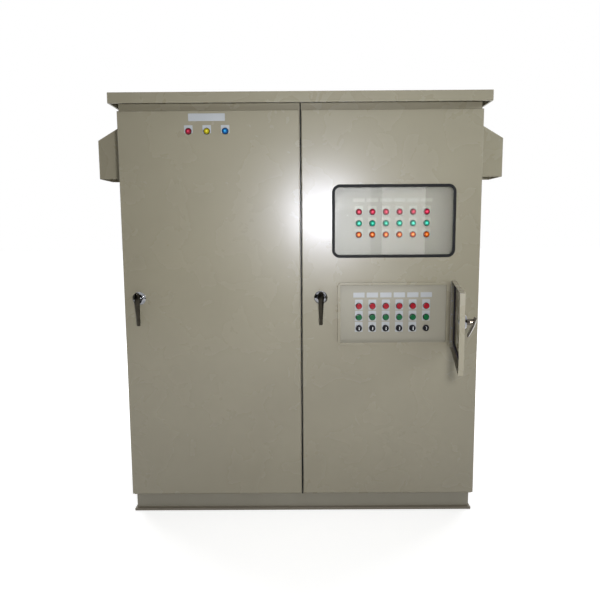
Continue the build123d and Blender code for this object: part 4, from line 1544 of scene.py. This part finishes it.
@dataclass
class Switchgear:
    """Toggles, terminal screws and raised fronts of the equipment on the mounting plates."""

    main_front: float = 111.5
    main_spot: Pair = (-402.5, 1500.0)
    breaker_front: float = 131.5
    breaker_row: Triple = (-478.5, 1150.0, 19.0)
    contactor_front: float = 97.5
    contactor_row: Triple = (247.5, 1150.0, 62.0)
    terminal_front: float = 149.5
    terminal_rows: tuple[Triple, Triple] = ((-462.0, 800.0, 17.0), (343.0, 800.0, 17.0))
    cover_out: float = 5.0

    def row(
        self,
        workshop: Workshop,
        name: str,
        former: Former,
        front: float,
        start: Pair,
        columns: tuple[int, float],
        rows: tuple[int, float],
        finish: Finish,
    ) -> None:
        """Set copies of one fitting on the fronts of a row of devices.

        Args:
            workshop: Where the copies are laid out.
            name: Name of the piece.
            former: The fitting, drawn about its own foot.
            front: Depth of the devices' front face.
            start: Where the first fitting goes, x and z.
            columns: How many there are across, and their pitch.
            rows: How many there are up, and their pitch.
            finish: Finish of the fitting.
        """
        mesh = workshop.copies(
            name,
            former,
            facing((0.0, front * MM, 0.0)),
            (start[0], start[1], 0.0),
            (columns[0], (columns[1], 0.0, 0.0)),
            (rows[0], (0.0, rows[1], 0.0)),
            finish,
        )
        set_out(name, mesh, "cabinet")

    def toggle(self, half: float, tall: float, out: float) -> Former:
        """Form a toggle that stands out of a device's front.

        Args:
            half: Half its width.
            tall: Its height.
            out: How far it stands out.

        Returns:
            The form, about its own foot.
        """
        former = Former()
        former.slab((-half, -tall * 0.2, -0.5), (half, tall * 0.8, out), min(half, out) * 0.35, 3)
        return former

    def front(self, half: float, tall: float, out: float) -> Former:
        """Form the raised middle of a device's front.

        Args:
            half: Half its width.
            tall: Its height.
            out: How far it stands out.

        Returns:
            The form, about its own middle.
        """
        former = Former()
        former.slab((-half, -tall / 2, -0.5), (half, tall / 2, out), 1.0)
        return former

    def clamp(self, radius: float) -> Former:
        """Form a terminal screw with a slotted head.

        Args:
            radius: Radius of its head.

        Returns:
            The form, about its own axis.
        """
        former = Former()
        former.turned([(0.0, -0.3), (radius, -0.3), (radius, 0.5), (radius * 0.8, 1.0), (0.0, 1.0)], 12)
        former.slab((-radius * 0.8, -0.35, 0.9), (radius * 0.8, 0.35, 1.3), 0.1, 1)
        return former

    def build(self, workshop: Workshop) -> None:
        """Build the fittings of every row of devices.

        Args:
            workshop: Where the copies are laid out.
        """
        out = self.cover_out
        one = (1, 0.0)
        pair = (2, 64.0)
        spot = self.main_spot
        front = self.main_front
        corner = (spot[0] - 32.0, spot[1] - 64.0)
        fittings = [
            ("main_cover", self.front(44.0, 92.0, out), front, spot, one, one, GREY_ABS),
            ("main_toggle", self.toggle(9.0, 34.0, 16.0), front - out, spot, one, one, BLACK_ABS),
            ("main_clamps", self.clamp(5.5), front, corner, (3, 32.0), (2, 128.0), ZINC),
        ]
        x, z, pitch = self.breaker_row
        across = (9, pitch)
        front = self.breaker_front
        fittings += [
            ("breaker_fronts", self.front(8.2, 45.0, out), front, (x, z), across, one, GREY_ABS),
            ("breaker_toggles", self.toggle(4.5, 15.0, 8.0), front - out, (x, z), across, one, BLACK_ABS),
            ("breaker_clamps", self.clamp(3.6), front, (x, z - 32.0), across, pair, ZINC),
        ]
        x, z, pitch = self.contactor_row
        across = (6, pitch)
        front = self.contactor_front
        fittings.append(
            ("contactor_fronts", self.front(19.0, 40.0, out), front, (x, z), across, one, GREY_ABS)
        )
        for count, shift in enumerate((-14.0, 0.0, 14.0), 1):
            start = (x + shift, z - 32.0)
            fittings.append(
                (f"contactor_clamps_{count}", self.clamp(3.8), front, start, across, pair, ZINC)
            )
        front = self.terminal_front
        for count, (x, z, pitch) in enumerate(self.terminal_rows, 1):
            start = (x, z - 16.0)
            across = (8, pitch)
            fittings.append(
                (f"terminal_clamps_{count}", self.clamp(4.2), front, start, across, (2, 32.0), ZINC)
            )
        for fitting in fittings:
            self.row(workshop, *fitting)


@dataclass
class Window:
    """The window's rubber gasket, drawn as one bead with a rounded lip."""

    band: float = 13.0
    corner: float = 35.0

    def build(self, workshop: Workshop) -> None:
        """Draw the gasket over its CAD node's place.

        Args:
            workshop: Where the bead is made.
        """
        low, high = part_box("window_gasket")
        middle = (low + high) / 2
        size = (high - low) / MM
        mesh = workshop.beading(
            "window_bead",
            facing(middle),
            (size.x - self.band, size.z - self.band, self.corner - self.band / 2),
            (self.band, size.y, 2.6),
            RUBBER,
        )
        set_out("window_bead", mesh, "right_door", stands_for=["window_gasket"], crease=50.0)


@dataclass
class Studio:
    """Floor, light and camera."""

    focal_px: float = 600.0
    image_px: float = 600.0
    camera_mm: Triple = (4.0, -2970.9, 1341.0)
    yaw: float = -0.0038
    pitch: float = 0.1238
    roll: float = 0.0066
    ambient: float = 0.20
    lamps: tuple[tuple[str, Triple, Triple, float, float, float], ...] = (
        ("key", (0.20, -2.95, 1.445), (0.05, -0.28, 1.18), 0.18, 19.0, 120.0),
        ("left_fill", (-2.8, -2.0, 1.8), (0.0, -0.28, 1.1), 1.8, 2.5, 120.0),
        ("right_fill", (2.6, -1.5, 2.2), (0.95, -0.1, 1.72), 1.0, 5.0, 70.0),
        ("bounce", (0.0, -1.9, 0.25), (0.0, -0.34, 1.86), 1.0, 2.2, 60.0),
        ("rear_left", (-3.0, 2.8, 2.4), (-0.4, 0.25, 1.0), 2.2, 100.0, 180.0),
        ("rear_right", (3.0, 2.8, 2.4), (0.4, 0.25, 1.0), 2.2, 100.0, 180.0),
    )
    lamp_colour: Triple = (0.968, 0.968, 1.0)
    cool_colour: Triple = (0.86, 0.92, 1.0)
    cool: tuple[str, ...] = ("right_fill", "bounce")
    cards: tuple[tuple[str, Pair, Pair, float], ...] = (
        ("card_wide", (0.24, 0.735), (0.60, 2.10), 0.40),
        ("card_bright", (0.852, 1.31), (0.60, 2.10), 1.1),
    )
    card_y: float = -4.0
    flag: tuple[Pair, Pair] = ((-4.5, 4.5), (0.05, 4.2))
    flag_y: float = -5.4
    wing_y: float = 0.6

    def camera(self) -> None:
        """Set the camera where the photograph was taken from."""
        lens = bpy.data.cameras.new("camera")
        lens.sensor_width = 36.0
        lens.lens = self.focal_px / self.image_px * lens.sensor_width
        ahead = Vector(
            (
                math.sin(self.yaw) * math.cos(self.pitch),
                math.cos(self.yaw) * math.cos(self.pitch),
                -math.sin(self.pitch),
            )
        )
        level = Vector((math.cos(self.yaw), -math.sin(self.yaw), 0.0))
        upright = level.cross(ahead)
        right = level * math.cos(self.roll) - upright * math.sin(self.roll)
        up = level * math.sin(self.roll) + upright * math.cos(self.roll)
        axes = Matrix((right, up, -ahead)).transposed().to_4x4()
        viewer = bpy.data.objects.new("camera", lens)
        viewer.matrix_world = Matrix.Translation(Vector(self.camera_mm) * MM) @ axes
        bpy.context.scene.collection.objects.link(viewer)
        bpy.context.scene.camera = viewer

    def lights(self) -> None:
        """Hang the soft lamps: one near the camera, fills beside and below it, two behind the object."""
        for name, spot, target, size, power, spread in self.lamps:
            lamp = bpy.data.lights.new(name, "AREA")
            lamp.shape = "SQUARE"
            lamp.size = size
            lamp.energy = power
            lamp.spread = math.radians(spread)
            lamp.color = self.cool_colour if name in self.cool else self.lamp_colour
            holder = bpy.data.objects.new(name, lamp)
            holder.location = spot
            holder.rotation_euler = (Vector(target) - Vector(spot)).to_track_quat("-Z", "Y").to_euler()
            holder.visible_camera = False
            holder.visible_glossy = name == "key"
            bpy.context.scene.collection.objects.link(holder)

    def seen(self, tree: Tree) -> Socket:
        """Tell rays that show the background from rays that only light the object.

        Args:
            tree: Tree that gets the test.

        Returns:
            Socket that is 1 where the background shows.
        """
        path = add_node(tree, "ShaderNodeLightPath")
        mirror = add_node(
            tree,
            "ShaderNodeMath",
            {0: path.outputs["Is Camera Ray"], 1: path.outputs["Is Glossy Ray"]},
            operation="MAXIMUM",
        )
        clear = add_node(
            tree,
            "ShaderNodeMath",
            {0: mirror.outputs["Value"], 1: path.outputs["Is Transmission Ray"]},
            operation="MAXIMUM",
        )
        return clear.outputs["Value"]

    def backdrop(self) -> None:
        """Make the white world, which lights the object more softly than it shows."""
        world = bpy.data.worlds.new("studio")
        world.use_nodes = True
        tree = world.node_tree
        sky = tree.nodes["Background"]
        sky.inputs["Color"].default_value = (1.0, 1.0, 1.0, 1.0)
        level = add_node(
            tree, "ShaderNodeMapRange", {"Value": self.seen(tree), "To Min": self.ambient, "To Max": 1.0}
        )
        tree.links.new(level.outputs["Result"], sky.inputs["Strength"])
        bpy.context.scene.world = world

    def floor(self) -> None:
        """Lay the pale floor, which keeps the object's shadow."""
        mesh = bpy.data.meshes.new("floor")
        half = 30.0
        mesh.from_pydata(
            [(-half, -half, 0.0), (half, -half, 0.0), (half, half, 0.0), (-half, half, 0.0)],
            [],
            [(0, 1, 2, 3)],
        )
        ground = bpy.data.materials.new("studio_floor")
        ground.use_nodes = True
        tree = ground.node_tree
        shader = tree.nodes["Principled BSDF"]
        shader.inputs["Base Color"].default_value = linear("#D8D8D6")
        shader.inputs["Roughness"].default_value = 0.9
        shader.inputs["Specular IOR Level"].default_value = 0.0
        shader.inputs["Emission Color"].default_value = (1.0, 1.0, 1.0, 1.0)
        spot = add_node(tree, "ShaderNodeTexCoord").outputs["Object"]
        reach = add_node(tree, "ShaderNodeVectorMath", {0: spot}, operation="LENGTH")
        fade = add_node(
            tree,
            "ShaderNodeMapRange",
            {
                "Value": reach.outputs["Value"],
                "From Min": 0.9,
                "From Max": 2.6,
                "To Min": 0.66,
                "To Max": 1.0,
            },
        )
        lift = add_node(
            tree, "ShaderNodeMath", {0: fade.outputs["Result"], 1: self.seen(tree)}, operation="MULTIPLY"
        )
        tree.links.new(lift.outputs["Value"], shader.inputs["Emission Strength"])
        mesh.materials.append(ground)
        sheet = bpy.data.objects.new("floor", mesh)
        bpy.context.scene.collection.objects.link(sheet)

    def screen(self, name: str, foot: tuple[Pair, Pair], up: Pair, glow: float) -> Piece:
        """Stand a flat screen behind or beside the camera, out of its sight.

        Args:
            name: Name of the screen.
            foot: Both ends of its foot, x and y.
            up: Its lowest and highest z.
            glow: Light that it gives off; 0 is a dark flag.

        Returns:
            The screen.
        """
        mesh = bpy.data.meshes.new(name)
        low = [(x, y, up[0]) for x, y in foot]
        high = [(x, y, up[1]) for x, y in reversed(foot)]
        mesh.from_pydata(low + high, [], [(0, 1, 2, 3)])
        cloth = bpy.data.materials.new(name)
        cloth.use_nodes = True
        shader = cloth.node_tree.nodes["Principled BSDF"]
        shader.inputs["Base Color"].default_value = linear("#2A2A2A")
        shader.inputs["Roughness"].default_value = 1.0
        shader.inputs["Emission Color"].default_value = (1.0, 1.0, 1.0, 1.0)
        shader.inputs["Emission Strength"].default_value = glow
        mesh.materials.append(cloth)
        sheet = bpy.data.objects.new(name, mesh)
        sheet.visible_camera = False
        bpy.context.scene.collection.objects.link(sheet)
        return sheet

    def screens(self) -> None:
        """Stand the bright cards that the window reflects, and the dark flag that gives chrome contrast."""
        for name, across, up, glow in self.cards:
            self.screen(name, ((across[0], self.card_y), (across[1], self.card_y)), up, glow)
        across, up = self.flag
        back = ((across[0], self.flag_y), (across[1], self.flag_y))
        wing = ((across[0], self.wing_y), (across[0], self.flag_y))
        for name, foot in (("flag", back), ("flag_wing", wing)):
            flag = self.screen(name, foot, up, 0.0)
            flag.visible_diffuse = False
            flag.visible_shadow = False

    def build(self) -> None:
        """Set up the camera, the lamps, the world, the floor and the screens."""
        self.camera()
        self.lights()
        self.backdrop()
        self.floor()
        self.screens()
        bpy.context.scene.view_settings.view_transform = "Standard"


def main() -> None:
    """Load the frame, dress it and build the fine pieces round it."""
    logging.basicConfig(level=logging.INFO, format="%(name)s: %(message)s")
    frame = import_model()
    joints = {joint["name"]: joint for joint in frame["joints"]}
    workshop = Workshop()
    Studio().build()
    enclosure = Enclosure()
    enclosure.dress(frame["nodes"])
    enclosure.rear_screws(workshop)
    enclosure.bay_joint()
    handle = LeverHandle()
    for side in ("left", "right"):
        handle.build(side, Vector(joints[f"{side}_lever_turn"]["pos_m"]))
    FlapFittings().build(workshop, joints)
    lamps = PilotLamps()
    lamps.window_field(workshop)
    lamps.phase_lamps(workshop)
    OperatorField().build(workshop)
    Window().build(workshop)
    Switchgear().build(workshop)


if __name__ == "__main__":
    main()
